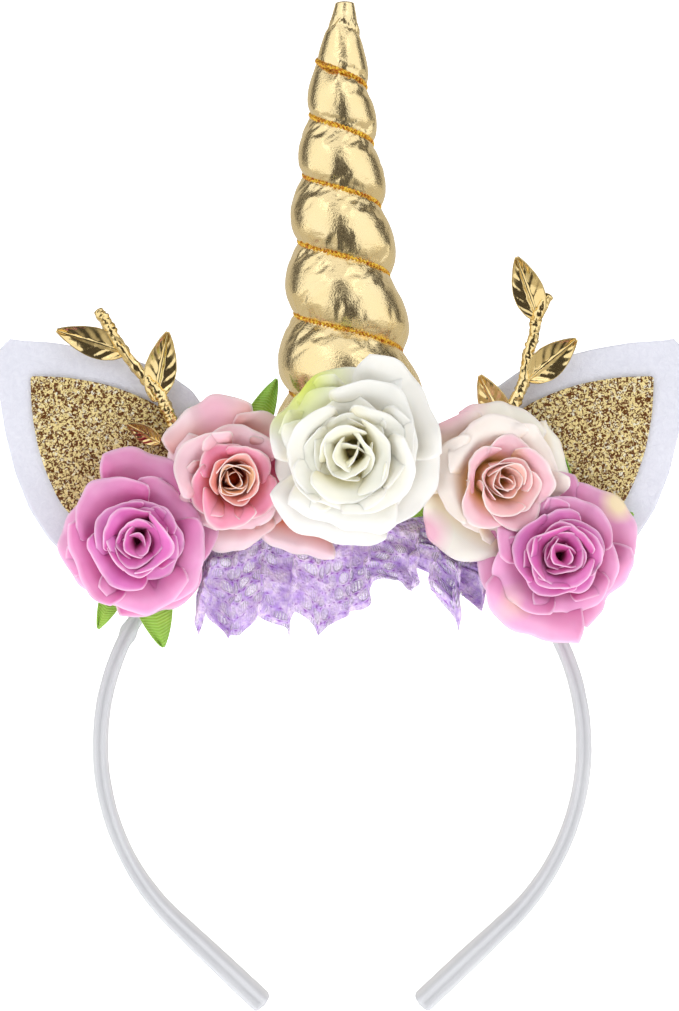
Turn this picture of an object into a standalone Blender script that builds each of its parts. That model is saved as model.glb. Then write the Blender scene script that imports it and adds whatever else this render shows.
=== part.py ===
"""Unicorn horn headband: a satin-wrapped band that carries a padded horn, felt ears, cloth roses and lace."""

import math

import bmesh
import bpy
import numpy as np
from mathutils import Euler, Matrix, Vector

MM = 0.001
TURN = 2 * math.pi

# Clearance between pieces that touch
GAP = 0.3 * MM

# Band: the origin is the inner top, where it sits on the head
BAND_INNER_RADIUS = 63.7 * MM
BAND_THICKNESS = 3.4 * MM
BAND_WIDTH = 10 * MM
BAND_EDGE = 1.1 * MM
BAND_ARC_END = 136.7
LEG_LENGTH = 32 * MM
BAND_STEPS = 17

# Horn: a stuffed cone with one winding groove
HORN_HEIGHT = 134.2 * MM
HORN_BASE_RADIUS = 21.4 * MM
HORN_TIP_RADIUS = 2.3 * MM
HORN_LEAN = 1.8 * MM
HORN_GROOVE = 0.2
HORN_FIRST_TURN = 0.9545
HORN_TURN_STEP = 0.0939
HORN_TURN_GROWTH = 0.00605
HORN_COLUMNS = 20
GROOVE_FROM = 0.2

# height share, radius share from tip to base, lean share
HORN_SECTIONS = (
    (0.000, 1.000, 1.30),
    (0.079, 0.990, 1.25),
    (0.228, 0.889, 1.00),
    (0.430, 0.668, 0.17),
    (0.567, 0.563, -0.30),
    (0.700, 0.437, -0.38),
    (0.833, 0.295, -0.35),
    (0.920, 0.150, 0.05),
    (1.000, 0.000, 0.44),
)

# share of a turn, depth share of the groove
GROOVE_SECTION = (
    (0.00, 1.00),
    (0.06, 0.55),
    (0.20, 0.16),
    (0.50, 0.00),
    (0.80, 0.16),
    (0.94, 0.55),
)

# Cord in the groove, measured in turns from the tip
CORD_RADIUS = 0.6 * MM
CORD_FROM = 0.62
CORD_TO = 6.62
CORD_STEPS = 16

# Ears: felt, seated on the front edge of the band
EAR_LENGTH = 79.6 * MM
EAR_WIDTH = 55.6 * MM
EAR_FELT = 2 * MM
EAR_SEAT_ANGLE = 34.6
EAR_LEAN = 45.2
EAR_FOOT_FROM = 23
EAR_FOOT_TO = 57

# length share, outer edge and inner edge as shares of half the width
EAR_EDGE = (
    (0.13, 0.96, 0.80),
    (0.29, 1.00, 0.93),
    (0.42, 0.99, 1.00),
    (0.53, 0.92, 0.95),
    (0.65, 0.76, 0.78),
    (0.77, 0.54, 0.57),
    (0.87, 0.33, 0.37),
    (0.95, 0.13, 0.18),
    (0.99, 0.02, 0.10),
)

# Glitter panels, lengths from the seat of the ear
PANEL_FOOT = 24 * MM
PANEL_TIP = 68.2 * MM
PANEL_WIDTH = 39 * MM
PANEL_SHEET = 1 * MM

# length share, edge as a share of half the width
PANEL_EDGE = (
    (0.00, 0.94),
    (0.17, 1.00),
    (0.32, 0.96),
    (0.50, 0.80),
    (0.65, 0.63),
    (0.83, 0.35),
    (0.94, 0.13),
)

# Gold sprigs: shares of the sprig height, outwards and up from the root
SPRIG_HEIGHT = 45 * MM
SPRIG_WIRE = 1.35 * MM
SPRIG_LEAF_WIDTH = 7.6 * MM
SPRIG_LEAF_SHEET = 0.9 * MM
SPRIG_ROOT_UP = 0.26
SPRIG_ROOT_IN = 0.45

# outwards, up, thickness share
SPRIG_STEMS = {
    "left": (
        (0.000, 0.000, 0.90),
        (0.098, 0.233, 1.10),
        (0.127, 0.324, 0.90),
        (0.176, 0.433, 1.20),
        (0.264, 0.522, 0.90),
        (0.340, 0.610, 1.10),
        (0.402, 0.702, 0.85),
        (0.476, 0.840, 1.10),
        (0.536, 0.924, 0.75),
    ),
    "right": (
        (0.000, 0.000, 0.90),
        (0.067, 0.222, 1.05),
        (0.098, 0.342, 0.90),
        (0.151, 0.469, 1.20),
        (0.170, 0.560, 0.90),
        (0.187, 0.631, 1.15),
        (0.218, 0.756, 0.85),
        (0.236, 0.876, 1.10),
        (0.313, 1.020, 0.75),
    ),
}

# base outwards, base up, tip outwards, tip up
SPRIG_LEAVES = {
    "left": (
        (0.402, 0.702, 0.769, 0.798),
        (0.176, 0.433, 0.149, 0.787),
        (0.150, 0.375, 0.373, 0.247),
    ),
    "right": (
        (0.236, 0.876, 0.133, 1.231),
        (0.160, 0.515, 0.462, 0.738),
        (0.067, 0.222, -0.100, 0.529),
    ),
}

# Roses: stamped petal layers on a short stub
ROSE_RADIUS = 22 * MM
ROSE_DEPTH = 16.5 * MM
ROSE_CLOTH = 1 * MM
ROSE_STUB_RADIUS = 4.2 * MM
ROSE_STUB = 4.3 * MM
ROSE_CURL = 0.9 * MM
ROSE_NOTCH = 0.16
ROSE_LOBES = 5

# name, angle on the band, distance outside the band, size share, stub share, yaw, pitch, turn
ROSES = (
    ("rose1", -44.1, 13.2 * MM, 1.00, 1.00, 0, 0, 10),
    ("rose2", -22.0, 13.7 * MM, 0.88, 1.00, 0, 4, 40),
    ("rose3", 2.8, 14.3 * MM, 1.09, 0.35, 0, 0, 25),
    ("rose4", 26.4, 16.6 * MM, 0.90, 1.30, 11, 4, 5),
    ("rose5", 47.9, 11.4 * MM, 0.96, 1.00, 4, 0, 30),
)

# roses whose petals press on each other, share of the distance that the first one takes
ROSE_NEIGHBOURS = (("rose1", "rose2", 0.54), ("rose5", "rose4", 0.54))

# layer, radius share, rise share, columns, turn, (radius share, rise share) of its section
PETAL_LAYERS = (
    ("outer", 1.00, 0.36, 20, 0, ((0.30, 0.00), (0.65, 0.68), (1.00, 1.00))),
    ("middle", 0.72, 0.62, 20, 36, ((0.35, 0.00), (0.70, 0.58), (1.00, 1.00))),
    ("inner", 0.47, 0.76, 15, 12, ((0.45, 0.00), (0.80, 0.64), (1.00, 1.00))),
)

# Bud: height share, radius share
BUD_RADIUS = 0.20
BUD_RISE = 0.88
BUD_SECTIONS = ((0.00, 0.60), (0.20, 0.85), (0.50, 1.00), (0.80, 0.86), (1.00, 0.45))

# Green leaves: carrying rose, direction clockwise from up, length, half width, 1 if it crosses the panel
LEAF_CLOTH = 0.8 * MM
GREEN_LEAVES = (
    ("rose2", 26, 26 * MM, 3.4 * MM, 0),
    ("rose2", -33, 21 * MM, 3.0 * MM, 0),
    ("rose1", 203, 26.5 * MM, 3.2 * MM, 0),
    ("rose1", 167, 30 * MM, 5.0 * MM, 0),
    ("rose5", 4, 26.5 * MM, 4.0 * MM, 1),
    ("rose5", 62, 24 * MM, 3.8 * MM, 1),
    ("rose5", 222, 21 * MM, 2.4 * MM, 0),
    ("rose4", 212, 12 * MM, 2.4 * MM, 0),
)

# length share, width share
LEAF_SECTIONS = ((0.00, 0.30), (0.25, 0.80), (0.50, 1.00), (0.75, 0.72), (0.92, 0.32), (1.00, 0.06))

# Lace frill, hanging from the front edge of the band
LACE_SHEET = 1 * MM
LACE_DROP = 34 * MM
LACE_FOLD = 1.7 * MM
LACE_ROWS = 5

# angle on the band, sideways lean and drop as shares of the drop, fold share
LACE_EDGE = (
    (-35.5, -0.06, 0.66, 0.2),
    (-31.0, -0.04, 0.54, 1.0),
    (-27.0, 0.01, 0.85, 0.1),
    (-20.0, 0.01, 0.80, 1.0),
    (-13.0, 0.02, 0.98, 0.0),
    (-9.0, 0.01, 0.79, 1.0),
    (-5.0, -0.01, 1.00, 0.1),
    (0.0, 0.00, 0.85, 0.9),
    (5.5, -0.01, 0.78, 0.0),
    (11.0, -0.02, 0.58, 1.0),
    (16.0, 0.00, 0.60, 0.0),
    (21.0, -0.01, 0.41, 1.0),
    (27.0, 0.00, 0.75, 0.2),
    (31.0, -0.02, 0.42, 1.0),
    (34.0, -0.01, 0.47, 0.1),
)

# What follows from the sizes above
BAND_MIDDLE = BAND_INNER_RADIUS + BAND_THICKNESS / 2
BAND_OUTER = BAND_INNER_RADIUS + BAND_THICKNESS
BAND_FRONT = BAND_WIDTH / 2
EAR_BACK = BAND_FRONT + GAP
EAR_FRONT = EAR_BACK + EAR_FELT
PANEL_BACK = EAR_FRONT + GAP
PANEL_FRONT = PANEL_BACK + PANEL_SHEET

# colour, metallic, roughness
FINISHES = {
    "satin": ((0.86, 0.87, 0.90), 0.0, 0.35),
    "gold_cloth": ((0.83, 0.62, 0.33), 1.0, 0.28),
    "gold_cord": ((0.78, 0.47, 0.10), 1.0, 0.40),
    "felt": ((0.90, 0.91, 0.93), 0.0, 0.95),
    "glitter": ((0.62, 0.40, 0.14), 0.8, 0.45),
    "gold_metal": ((0.86, 0.60, 0.22), 1.0, 0.18),
    "mauve_petals": ((0.80, 0.32, 0.58), 0.0, 0.7),
    "pink_petals": ((0.93, 0.50, 0.56), 0.0, 0.7),
    "white_petals": ((0.93, 0.92, 0.86), 0.0, 0.7),
    "cream_petals": ((0.93, 0.72, 0.66), 0.0, 0.7),
    "green_cloth": ((0.24, 0.50, 0.12), 0.0, 0.75),
    "lace": ((0.62, 0.46, 0.82), 0.0, 0.8),
}

ROSE_FINISH = {
    "rose1": "mauve_petals",
    "rose2": "pink_petals",
    "rose3": "white_petals",
    "rose4": "cream_petals",
    "rose5": "mauve_petals",
}


def clear_scene():
    for obj in list(bpy.data.objects):
        bpy.data.objects.remove(obj, do_unlink=True)


def collection_named(name, helper=False):
    found = bpy.data.collections.new(name)
    bpy.context.scene.collection.children.link(found)
    found.hide_render = helper
    return found


clear_scene()
PARTS = collection_named("unicorn_horn_headband")
HELPERS = collection_named("cutters_and_guides", helper=True)


def material(slot):
    found = bpy.data.materials.get(slot)
    if found:
        return found
    colour, metallic, roughness = FINISHES[slot]
    found = bpy.data.materials.new(slot)
    found.use_nodes = True
    shader = found.node_tree.nodes["Principled BSDF"]
    shader.inputs["Base Color"].default_value = (*colour, 1)
    shader.inputs["Metallic"].default_value = metallic
    shader.inputs["Roughness"].default_value = roughness
    return found


def add(name, data, slot, collection=PARTS):
    """One named object with its own material. A helper is drawn as wire and left out of the render."""
    obj = bpy.data.objects.new(name, data)
    collection.objects.link(obj)
    if slot:
        data.materials.append(material(slot))
    if collection is HELPERS:
        obj.hide_render = True
        obj.display_type = "WIRE"
    return obj


def upright(obj, depth=0.0):
    """Turns what is drawn in the XY plane to face the front, at this distance in front of the origin."""
    obj.rotation_euler = (math.radians(90), 0, 0)
    obj.location = (0, -depth, 0)
    return obj


def on_band(angle, radius):
    """Right and up coordinates of a point at this angle from the top of the band, at this radius."""
    turn = math.radians(angle)
    return radius * math.sin(turn), radius * math.cos(turn) - BAND_INNER_RADIUS


def smooth_shaded(mesh):
    for face in mesh.polygons:
        face.use_smooth = True


def loft(name, rings, slot, collection=PARTS, closed_ends=True):
    """A closed solid through rings of as many points each, ended by a fan to each end ring's centre."""
    shape = bmesh.new()
    loops = [[shape.verts.new(point) for point in ring] for ring in rings]
    count = len(loops[0])
    for first, second in zip(loops, loops[1:]):
        for i in range(count):
            j = (i + 1) % count
            shape.faces.new((first[i], first[j], second[j], second[i]))
    for loop, ring, flip in ((loops[0], rings[0], True), (loops[-1], rings[-1], False)):
        middle = shape.verts.new(np.mean(ring, axis=0))
        for i in range(count):
            j = (i + 1) % count
            shape.faces.new((loop[j], loop[i], middle) if flip else (loop[i], loop[j], middle))
    bmesh.ops.recalc_face_normals(shape, faces=shape.faces)
    mesh = bpy.data.meshes.new(name)
    shape.to_mesh(mesh)
    shape.free()
    smooth_shaded(mesh)
    return add(name, mesh, slot, collection)


def plate(name, outline, sheet, slot):
    """A flat sheet with this outline, its back at the zero plane."""
    curve = bpy.data.curves.new(name, "CURVE")
    curve.dimensions = "2D"
    curve.fill_mode = "BOTH"
    curve.extrude = sheet / 2
    spline = curve.splines.new("POLY")
    spline.points.add(len(outline) - 1)
    for point, (across, up) in zip(spline.points, outline):
        point.co = (across, up, 0, 1)
    spline.use_cyclic_u = True
    return add(name, curve, slot)


def boolean(obj, operation, other):
    cut = obj.modifiers.new(operation.lower(), "BOOLEAN")
    cut.operation = operation
    cut.solver = "EXACT"
    cut.object = other


def as_mesh(obj):
    """The mesh of a curve object, with its end caps welded to its sides."""
    bpy.context.view_layer.update()
    graph = bpy.context.evaluated_depsgraph_get()
    mesh = bpy.data.meshes.new_from_object(obj.evaluated_get(graph))
    shape = bmesh.new()
    shape.from_mesh(mesh)
    bmesh.ops.remove_doubles(shape, verts=shape.verts, dist=0.01 * MM)
    bmesh.ops.recalc_face_normals(shape, faces=shape.faces)
    shape.to_mesh(mesh)
    shape.free()
    return mesh


# Headband: a rounded strip swept round the arc and down both straight legs


def band_path():
    """Right, up and size share of the path from one tip to the other."""
    half = []
    for step in range(BAND_STEPS + 1):
        across, up = on_band(BAND_ARC_END * step / BAND_STEPS, BAND_MIDDLE)
        half.append((across, up, 1.0))
    end_turn = math.radians(BAND_ARC_END)
    along = (math.cos(end_turn), -math.sin(end_turn))
    for run, size in ((0.45, 1.03), (0.80, 1.08), (0.94, 1.02), (0.985, 0.80), (1.0, 0.45)):
        length = run * LEG_LENGTH
        half.append((half[BAND_STEPS][0] + along[0] * length, half[BAND_STEPS][1] + along[1] * length, size))
    other = [(-across, up, size) for across, up, size in reversed(half[1:])]
    return other + half


def headband():
    thick = BAND_THICKNESS / 2
    wide = BAND_WIDTH / 2
    corner = ((thick, wide - BAND_EDGE), (thick - BAND_EDGE * 0.3, wide - BAND_EDGE * 0.3), (thick - BAND_EDGE, wide))
    section = []
    for sx, sy in ((1, 1), (-1, 1), (-1, -1), (1, -1)):
        points = [(x * sx, y * sy) for x, y in corner]
        section += points if sx * sy > 0 else points[::-1]
    profile = bpy.data.curves.new("band_section", "CURVE")
    profile.dimensions = "2D"
    spline = profile.splines.new("POLY")
    spline.points.add(len(section) - 1)
    for point, (x, y) in zip(spline.points, section):
        point.co = (x, y, 0, 1)
    spline.use_cyclic_u = True
    guide = add("band_section", profile, None, HELPERS)
    curve = bpy.data.curves.new("band_sweep", "CURVE")
    curve.dimensions = "3D"
    curve.twist_mode = "Z_UP"
    curve.bevel_mode = "OBJECT"
    curve.bevel_object = guide
    curve.use_fill_caps = True
    path = band_path()
    spline = curve.splines.new("POLY")
    spline.points.add(len(path) - 1)
    for point, (across, up, size) in zip(spline.points, path):
        point.co = (across, up, 0, 1)
        point.radius = size
    sweep = add("band_sweep", curve, None, HELPERS)
    upright(add("headband", as_mesh(sweep), "satin"))


# Horn: the groove follows the grid, so that every turn has the same clean section


def turn_height(turn):
    """Height where this turn of the groove passes the front."""
    share = HORN_FIRST_TURN - HORN_TURN_STEP * turn - HORN_TURN_GROWTH * turn * turn
    return BAND_THICKNESS + HORN_HEIGHT * share


def turn_pitch(turn):
    return HORN_HEIGHT * (HORN_TURN_STEP + 2 * HORN_TURN_GROWTH * turn)


def horn_size(height):
    """Envelope radius and sideways lean at this height."""
    share = (height - BAND_THICKNESS) / HORN_HEIGHT
    shares, radii, leans = zip(*HORN_SECTIONS)
    radius = HORN_TIP_RADIUS + (HORN_BASE_RADIUS - HORN_TIP_RADIUS) * np.interp(share, shares, radii)
    return radius, HORN_LEAN * np.interp(share, shares, leans)


def groove_depth(turn):
    """The groove fades out above its first full turn."""
    return HORN_GROOVE * min(1, max(0, (turn - GROOVE_FROM) / (1 - GROOVE_FROM)))


def horn_point(turn, angle, depth):
    height = turn_height(turn)
    radius, lean = horn_size(height)
    radius *= 1 - groove_depth(turn) * depth
    return (lean + radius * math.sin(angle), -radius * math.cos(angle), height)


def horn():
    rows = len(GROOVE_SECTION)
    first, last = -2, 8
    shape = bmesh.new()
    grid = {}
    for row in range((last - first) * rows + 1):
        whole, part = divmod(row, rows)
        share, depth = GROOVE_SECTION[part]
        for column in range(HORN_COLUMNS):
            turned = column / HORN_COLUMNS
            point = horn_point(first + whole + share + turned, TURN * turned, depth)
            grid[row, column] = shape.verts.new(point)

    def vertex(row, column):
        return grid[row, column] if column < HORN_COLUMNS else grid[row + rows, 0]

    total = (last - first - 1) * rows
    for row in range(total):
        for column in range(HORN_COLUMNS):
            corners = ((row, column), (row, column + 1), (row + 1, column + 1), (row + 1, column))
            shape.faces.new([vertex(*corner) for corner in corners])
    unused = [vert for vert in shape.verts if not vert.link_faces]
    bmesh.ops.delete(shape, geom=unused, context="VERTS")
    edges = [edge for edge in shape.edges if len(edge.link_faces) == 1]
    for loop in open_loops(edges):
        middle = shape.verts.new(sum((vert.co for vert in loop), Vector()) / len(loop))
        for a, b in zip(loop, loop[1:] + loop[:1]):
            shape.faces.new((a, b, middle))
    bmesh.ops.recalc_face_normals(shape, faces=shape.faces)
    mesh = bpy.data.meshes.new("horn")
    shape.to_mesh(mesh)
    shape.free()
    smooth_shaded(mesh)
    obj = add("horn", mesh, "gold_cloth")
    boolean(obj, "DIFFERENCE", seat_cutter())
    boolean(obj, "DIFFERENCE", tip_cutter())


def open_loops(edges):
    """The vertices of each loop of these edges, in order."""
    left = set(edges)
    loops = []
    while left:
        edge = left.pop()
        loop = [edge.verts[0], edge.verts[1]]
        while True:
            following = next((e for e in loop[-1].link_edges if e in left), None)
            if following is None:
                break
            left.remove(following)
            loop.append(following.other_vert(loop[-1]))
        loops.append(loop[:-1] if loop[0] is loop[-1] else loop)
    return loops


def seat_cutter():
    """A cylinder along the band's axis, so that the horn's underside lies on the band."""
    shape = bmesh.new()
    radius = BAND_OUTER + GAP
    bmesh.ops.create_cone(
        shape, cap_ends=True, segments=96, radius1=radius, radius2=radius, depth=4 * HORN_BASE_RADIUS
    )
    mesh = bpy.data.meshes.new("horn_seat_cutter")
    shape.to_mesh(mesh)
    shape.free()
    cutter = add("horn_seat_cutter", mesh, None, HELPERS)
    cutter.rotation_euler = (math.radians(90), 0, 0)
    cutter.location = (0, 0, -BAND_INNER_RADIUS)
    return cutter


def tip_cutter():
    shape = bmesh.new()
    bmesh.ops.create_cube(shape, size=HORN_HEIGHT)
    mesh = bpy.data.meshes.new("horn_tip_cutter")
    shape.to_mesh(mesh)
    shape.free()
    cutter = add("horn_tip_cutter", mesh, None, HELPERS)
    cutter.location = (0, 0, BAND_THICKNESS + HORN_HEIGHT * 1.5)
    return cutter


def horn_cord():
    """A wire along the bottom of the groove, clear of its two sides."""
    curve = bpy.data.curves.new("horn_cord", "CURVE")
    curve.dimensions = "3D"
    curve.bevel_depth = CORD_RADIUS
    curve.bevel_resolution = 1
    curve.use_fill_caps = True
    steps = round((CORD_TO - CORD_FROM) * CORD_STEPS)
    spline = curve.splines.new("POLY")
    spline.points.add(steps)
    near, share = GROOVE_SECTION[1]
    for step, point in enumerate(spline.points):
        turn = CORD_FROM + (CORD_TO - CORD_FROM) * step / steps
        angle = TURN * turn
        height = turn_height(turn)
        radius, lean = horn_size(height)
        groove = groove_depth(turn)
        side = groove * radius * (1 - share) / (near * turn_pitch(turn))
        lift = (CORD_RADIUS + GAP) * math.hypot(1, side)
        reach = (radius * (1 - groove) + lift) / math.cos(math.pi / CORD_STEPS)
        point.co = (lean + reach * math.sin(angle), -reach * math.cos(angle), height, 1)
    add("horn_cord", curve, "gold_cord")


# Ears and glitter panels, in the ear's own frame: along it from the seat, and across it


def ear_point(side, along, across):
    """Right and up coordinates. Across is towards the horn."""
    seat = on_band(EAR_SEAT_ANGLE, BAND_INNER_RADIUS)
    lean = math.radians(EAR_LEAN)
    right = seat[0] + along * math.sin(lean) - across * math.cos(lean)
    up = seat[1] + along * math.cos(lean) + across * math.sin(lean)
    return side * right, up


def ear(name, side):
    half = EAR_WIDTH / 2
    outline = []
    for step in range(6):
        angle = EAR_FOOT_FROM + (EAR_FOOT_TO - EAR_FOOT_FROM) * step / 5
        across, up = on_band(angle, BAND_INNER_RADIUS)
        outline.append((side * across, up))
    outline += [ear_point(side, share * EAR_LENGTH, -outer * half) for share, outer, _ in EAR_EDGE]
    outline.append(ear_point(side, EAR_LENGTH, 0.04 * half))
    outline += [ear_point(side, share * EAR_LENGTH, inner * half) for share, _, inner in reversed(EAR_EDGE)]
    upright(plate(name, outline, EAR_FELT, "felt"), (EAR_BACK + EAR_FRONT) / 2)


def ear_panel(name, side):
    half = PANEL_WIDTH / 2
    reach = PANEL_TIP - PANEL_FOOT
    rows = [(PANEL_FOOT + share * reach, edge * half) for share, edge in PANEL_EDGE]
    outline = [ear_point(side, along, -across) for along, across in rows]
    outline.append(ear_point(side, PANEL_TIP, 0))
    outline += [ear_point(side, along, across) for along, across in reversed(rows)]
    upright(plate(name, outline, PANEL_SHEET, "glitter"), (PANEL_BACK + PANEL_FRONT) / 2)


def leaf_rings(base, tip, half_width, sheet, rise, depth):
    """Sections of a leaf from base to tip, folded up along its midrib. Points are right, up and forwards."""
    base = np.array(base)
    tip = np.array(tip)
    side = np.array((tip[1] - base[1], base[0] - tip[0])) / np.linalg.norm(tip - base)
    rings = []
    for share, width in LEAF_SECTIONS:
        middle = base + (tip - base) * share
        edge = side * half_width * width
        lift = rise * width
        corners = ((-edge, 0), (0 * edge, lift), (edge, 0), (edge, sheet), (0 * edge, lift + sheet), (-edge, sheet))
        rings.append([(*(middle + shift), depth + up) for shift, up in corners])
    return rings


def sprig(name, side, key):
    """A nubby stem with leaves, fused into one stamping."""
    root = ear_point(side, SPRIG_ROOT_UP * EAR_LENGTH, SPRIG_ROOT_IN * EAR_WIDTH / 2)

    def place(outwards, up):
        return root[0] + side * outwards * SPRIG_HEIGHT, root[1] + up * SPRIG_HEIGHT

    curve = bpy.data.curves.new(name + "_stem", "CURVE")
    curve.dimensions = "3D"
    curve.bevel_depth = SPRIG_WIRE
    curve.bevel_resolution = 1
    curve.use_fill_caps = True
    spline = curve.splines.new("POLY")
    rows = SPRIG_STEMS[key]
    spline.points.add(len(rows) - 1)
    for point, (outwards, up, size) in zip(spline.points, rows):
        point.co = (*place(outwards, up), 0, 1)
        point.radius = size
    stem = add(name + "_stem", curve, None, HELPERS)
    obj = add(name, as_mesh(stem), "gold_metal")
    thickest = max(size for _, _, size in rows)
    depth = PANEL_FRONT + GAP + SPRIG_WIRE * thickest
    upright(obj, depth)
    for number, (out1, up1, out2, up2) in enumerate(SPRIG_LEAVES[key]):
        rings = leaf_rings(
            place(out1, up1), place(out2, up2), SPRIG_LEAF_WIDTH / 2, SPRIG_LEAF_SHEET, 0.5 * MM, -0.7 * MM
        )
        leaf = upright(loft(f"{name}_leaf_{number}", rings, None, HELPERS), depth)
        boolean(obj, "UNION", leaf)


# Roses


def rose_frame(row):
    """Where the rose is seated, and the matrix of its petals, whose own Z faces out."""
    _, angle, outside, _, stub_share, yaw, pitch, _ = row
    across, up = on_band(angle, BAND_MIDDLE + outside)
    radius, lean = horn_size(up)
    carrier = radius if abs(across - lean) < ROSE_STUB_RADIUS else EAR_FRONT
    seat = carrier + GAP
    stub = ROSE_STUB * stub_share
    turned = Euler((math.radians(90 + pitch), 0, math.radians(yaw))).to_matrix().to_4x4()
    return (across, up, seat), Matrix.Translation((across, -seat - stub, up)) @ turned


ROSE_PLACES = {row[0]: rose_frame(row) for row in ROSES}


def rose_limits(name):
    """Planes that this rose's petals stay behind, as a world point and normal."""
    found = []
    for first, second, share in ROSE_NEIGHBOURS:
        if name not in (first, second):
            continue
        a = Vector((ROSE_PLACES[first][0][0], 0, ROSE_PLACES[first][0][1]))
        b = Vector((ROSE_PLACES[second][0][0], 0, ROSE_PLACES[second][0][1]))
        away = (b - a).normalized()
        point = a + (b - a) * share
        found.append((point, away) if name == first else (point, -away))
    return found


def section_height(section, radius, rise, at):
    shares, rises = zip(*section)
    return rise * np.interp(at / radius, (0,) + shares, (0,) + rises)


def petal_reach(name, matrix, angle, radius, floor, height_at):
    """How far out a petal goes in this direction before it meets its neighbour's plane."""
    reach = radius
    for point, away in rose_limits(name):
        for share in np.linspace(1, 0.3, 71):
            at = radius * share
            local = Vector((at * math.cos(angle), at * math.sin(angle), floor + height_at(at)))
            if (matrix @ local - point).dot(away) < -(GAP + ROSE_CLOTH):
                reach = min(reach, at)
                break
    return reach


def petal_layer(row, layer):
    """A stamped cup of lobed petals. Only the outer one has the stub that carries the rose."""
    name, _, _, size, _, _, _, turned = row
    part, share, rise_share, columns, layer_turn, section = layer
    (across, up, seat), matrix = ROSE_PLACES[name]
    radius = ROSE_RADIUS * size * share
    rise = ROSE_DEPTH * rise_share
    order = [kind[0] for kind in PETAL_LAYERS].index(part)
    floor = order * (ROSE_CLOTH + GAP)

    def height_at(at):
        return section_height(section, radius, rise, at)

    outline = []
    for column in range(columns):
        angle = TURN * column / columns + math.radians(turned + layer_turn)
        lobe = abs(math.sin(ROSE_LOBES * math.pi * column / columns))
        edge = radius * (1 - ROSE_NOTCH * (1 - lobe))
        reach = min(edge, petal_reach(name, matrix, angle, radius, floor, height_at))
        outline.append((angle, reach, ROSE_CURL * lobe))
    front, back = [], []
    for ring_share, _ in section:
        front_ring, back_ring = [], []
        for angle, reach, curl in outline:
            at = reach * ring_share
            slope = (height_at(at * 1.02) - height_at(at * 0.98)) / (at * 0.04)
            steep = math.hypot(1, slope)
            height = floor + height_at(at) - curl * ring_share**4
            out_x, out_y = math.cos(angle), math.sin(angle)
            front_ring.append((at * out_x, at * out_y, height + ROSE_CLOTH / 2 / steep + ROSE_CLOTH / 2))
            wide = at + ROSE_CLOTH * slope / steep
            back_ring.append((wide * out_x, wide * out_y, height + ROSE_CLOTH / 2 - ROSE_CLOTH / 2 / steep))
        front.append(front_ring)
        back.append(back_ring)
    rings = front + back[::-1]
    if part == "outer":
        inverse = matrix.inverted()
        level = [(math.cos(angle), math.sin(angle)) for angle, _, _ in outline]
        rings.append([(ROSE_STUB_RADIUS * x, ROSE_STUB_RADIUS * y, 0) for x, y in level])
        foot = [(across + ROSE_STUB_RADIUS * x, -seat, up + ROSE_STUB_RADIUS * y) for x, y in level]
        rings.append([tuple(inverse @ Vector(point)) for point in foot])
    obj = loft(f"{name}_{part}", rings, ROSE_FINISH[name])
    obj.matrix_world = matrix


def rose_bud(row):
    name, _, _, size, _, _, _, turned = row
    matrix = ROSE_PLACES[name][1]
    radius = ROSE_RADIUS * size * BUD_RADIUS
    floor = len(PETAL_LAYERS) * (ROSE_CLOTH + GAP)
    rise = ROSE_DEPTH * BUD_RISE - floor
    rings = []
    for share, width in BUD_SECTIONS:
        twist = math.radians(turned + 90 * share)
        angles = [TURN * column / 10 + twist for column in range(10)]
        ring = [(radius * width * math.cos(a), radius * width * math.sin(a), floor + rise * share) for a in angles]
        rings.append(ring)
    loft(f"{name}_bud", rings, ROSE_FINISH[name]).matrix_world = matrix


def green_leaf(number, row):
    """A folded cloth leaf that starts beside its rose's stub."""
    name, direction, length, half_width, crosses = row
    across, up, _ = ROSE_PLACES[name][0]
    turn = math.radians(direction)
    way = np.array((math.sin(turn), math.cos(turn)))
    base = np.array((across, up)) + way * (ROSE_STUB_RADIUS + GAP)
    tip = np.array((across, up)) + way * length
    back = PANEL_FRONT + GAP if crosses else EAR_FRONT + GAP
    rings = leaf_rings(base, tip, half_width, LEAF_CLOTH, 0.6 * MM, 0)
    upright(loft(f"green_leaf_{number}", rings, "green_cloth"), back)


# Lace frill: each row of its table is one fold line


def lace_frill():
    angles, leans, drops, folds = (np.array(column) for column in zip(*LACE_EDGE))
    spots = np.linspace(0, len(angles) - 1, 2 * len(angles) - 1)
    index = np.arange(len(angles))
    shape = bmesh.new()
    lines = []
    for spot in spots:
        angle, lean, drop, fold = (np.interp(spot, index, column) for column in (angles, leans, drops, folds))
        on_felt = np.interp(abs(angle), (EAR_FOOT_FROM - 7, EAR_FOOT_FROM - 3), (0, 1))
        seat = BAND_FRONT + (EAR_FRONT - BAND_FRONT) * on_felt + GAP + LACE_SHEET / 2
        right, up = on_band(angle, BAND_MIDDLE)
        line = []
        for row in range(LACE_ROWS):
            down = row / (LACE_ROWS - 1)
            forward = seat + LACE_FOLD * fold * min(1, 2 * down)
            point = (right + lean * LACE_DROP * down, -forward, up - drop * LACE_DROP * down)
            line.append(shape.verts.new(point))
        lines.append(line)
    for first, second in zip(lines, lines[1:]):
        for row in range(LACE_ROWS - 1):
            shape.faces.new((first[row], first[row + 1], second[row + 1], second[row]))
    bmesh.ops.recalc_face_normals(shape, faces=shape.faces)
    mesh = bpy.data.meshes.new("lace_frill")
    shape.to_mesh(mesh)
    shape.free()
    smooth_shaded(mesh)
    obj = add("lace_frill", mesh, "lace")
    shell = obj.modifiers.new("shell", "SOLIDIFY")
    shell.thickness = LACE_SHEET
    shell.offset = 0


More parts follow.
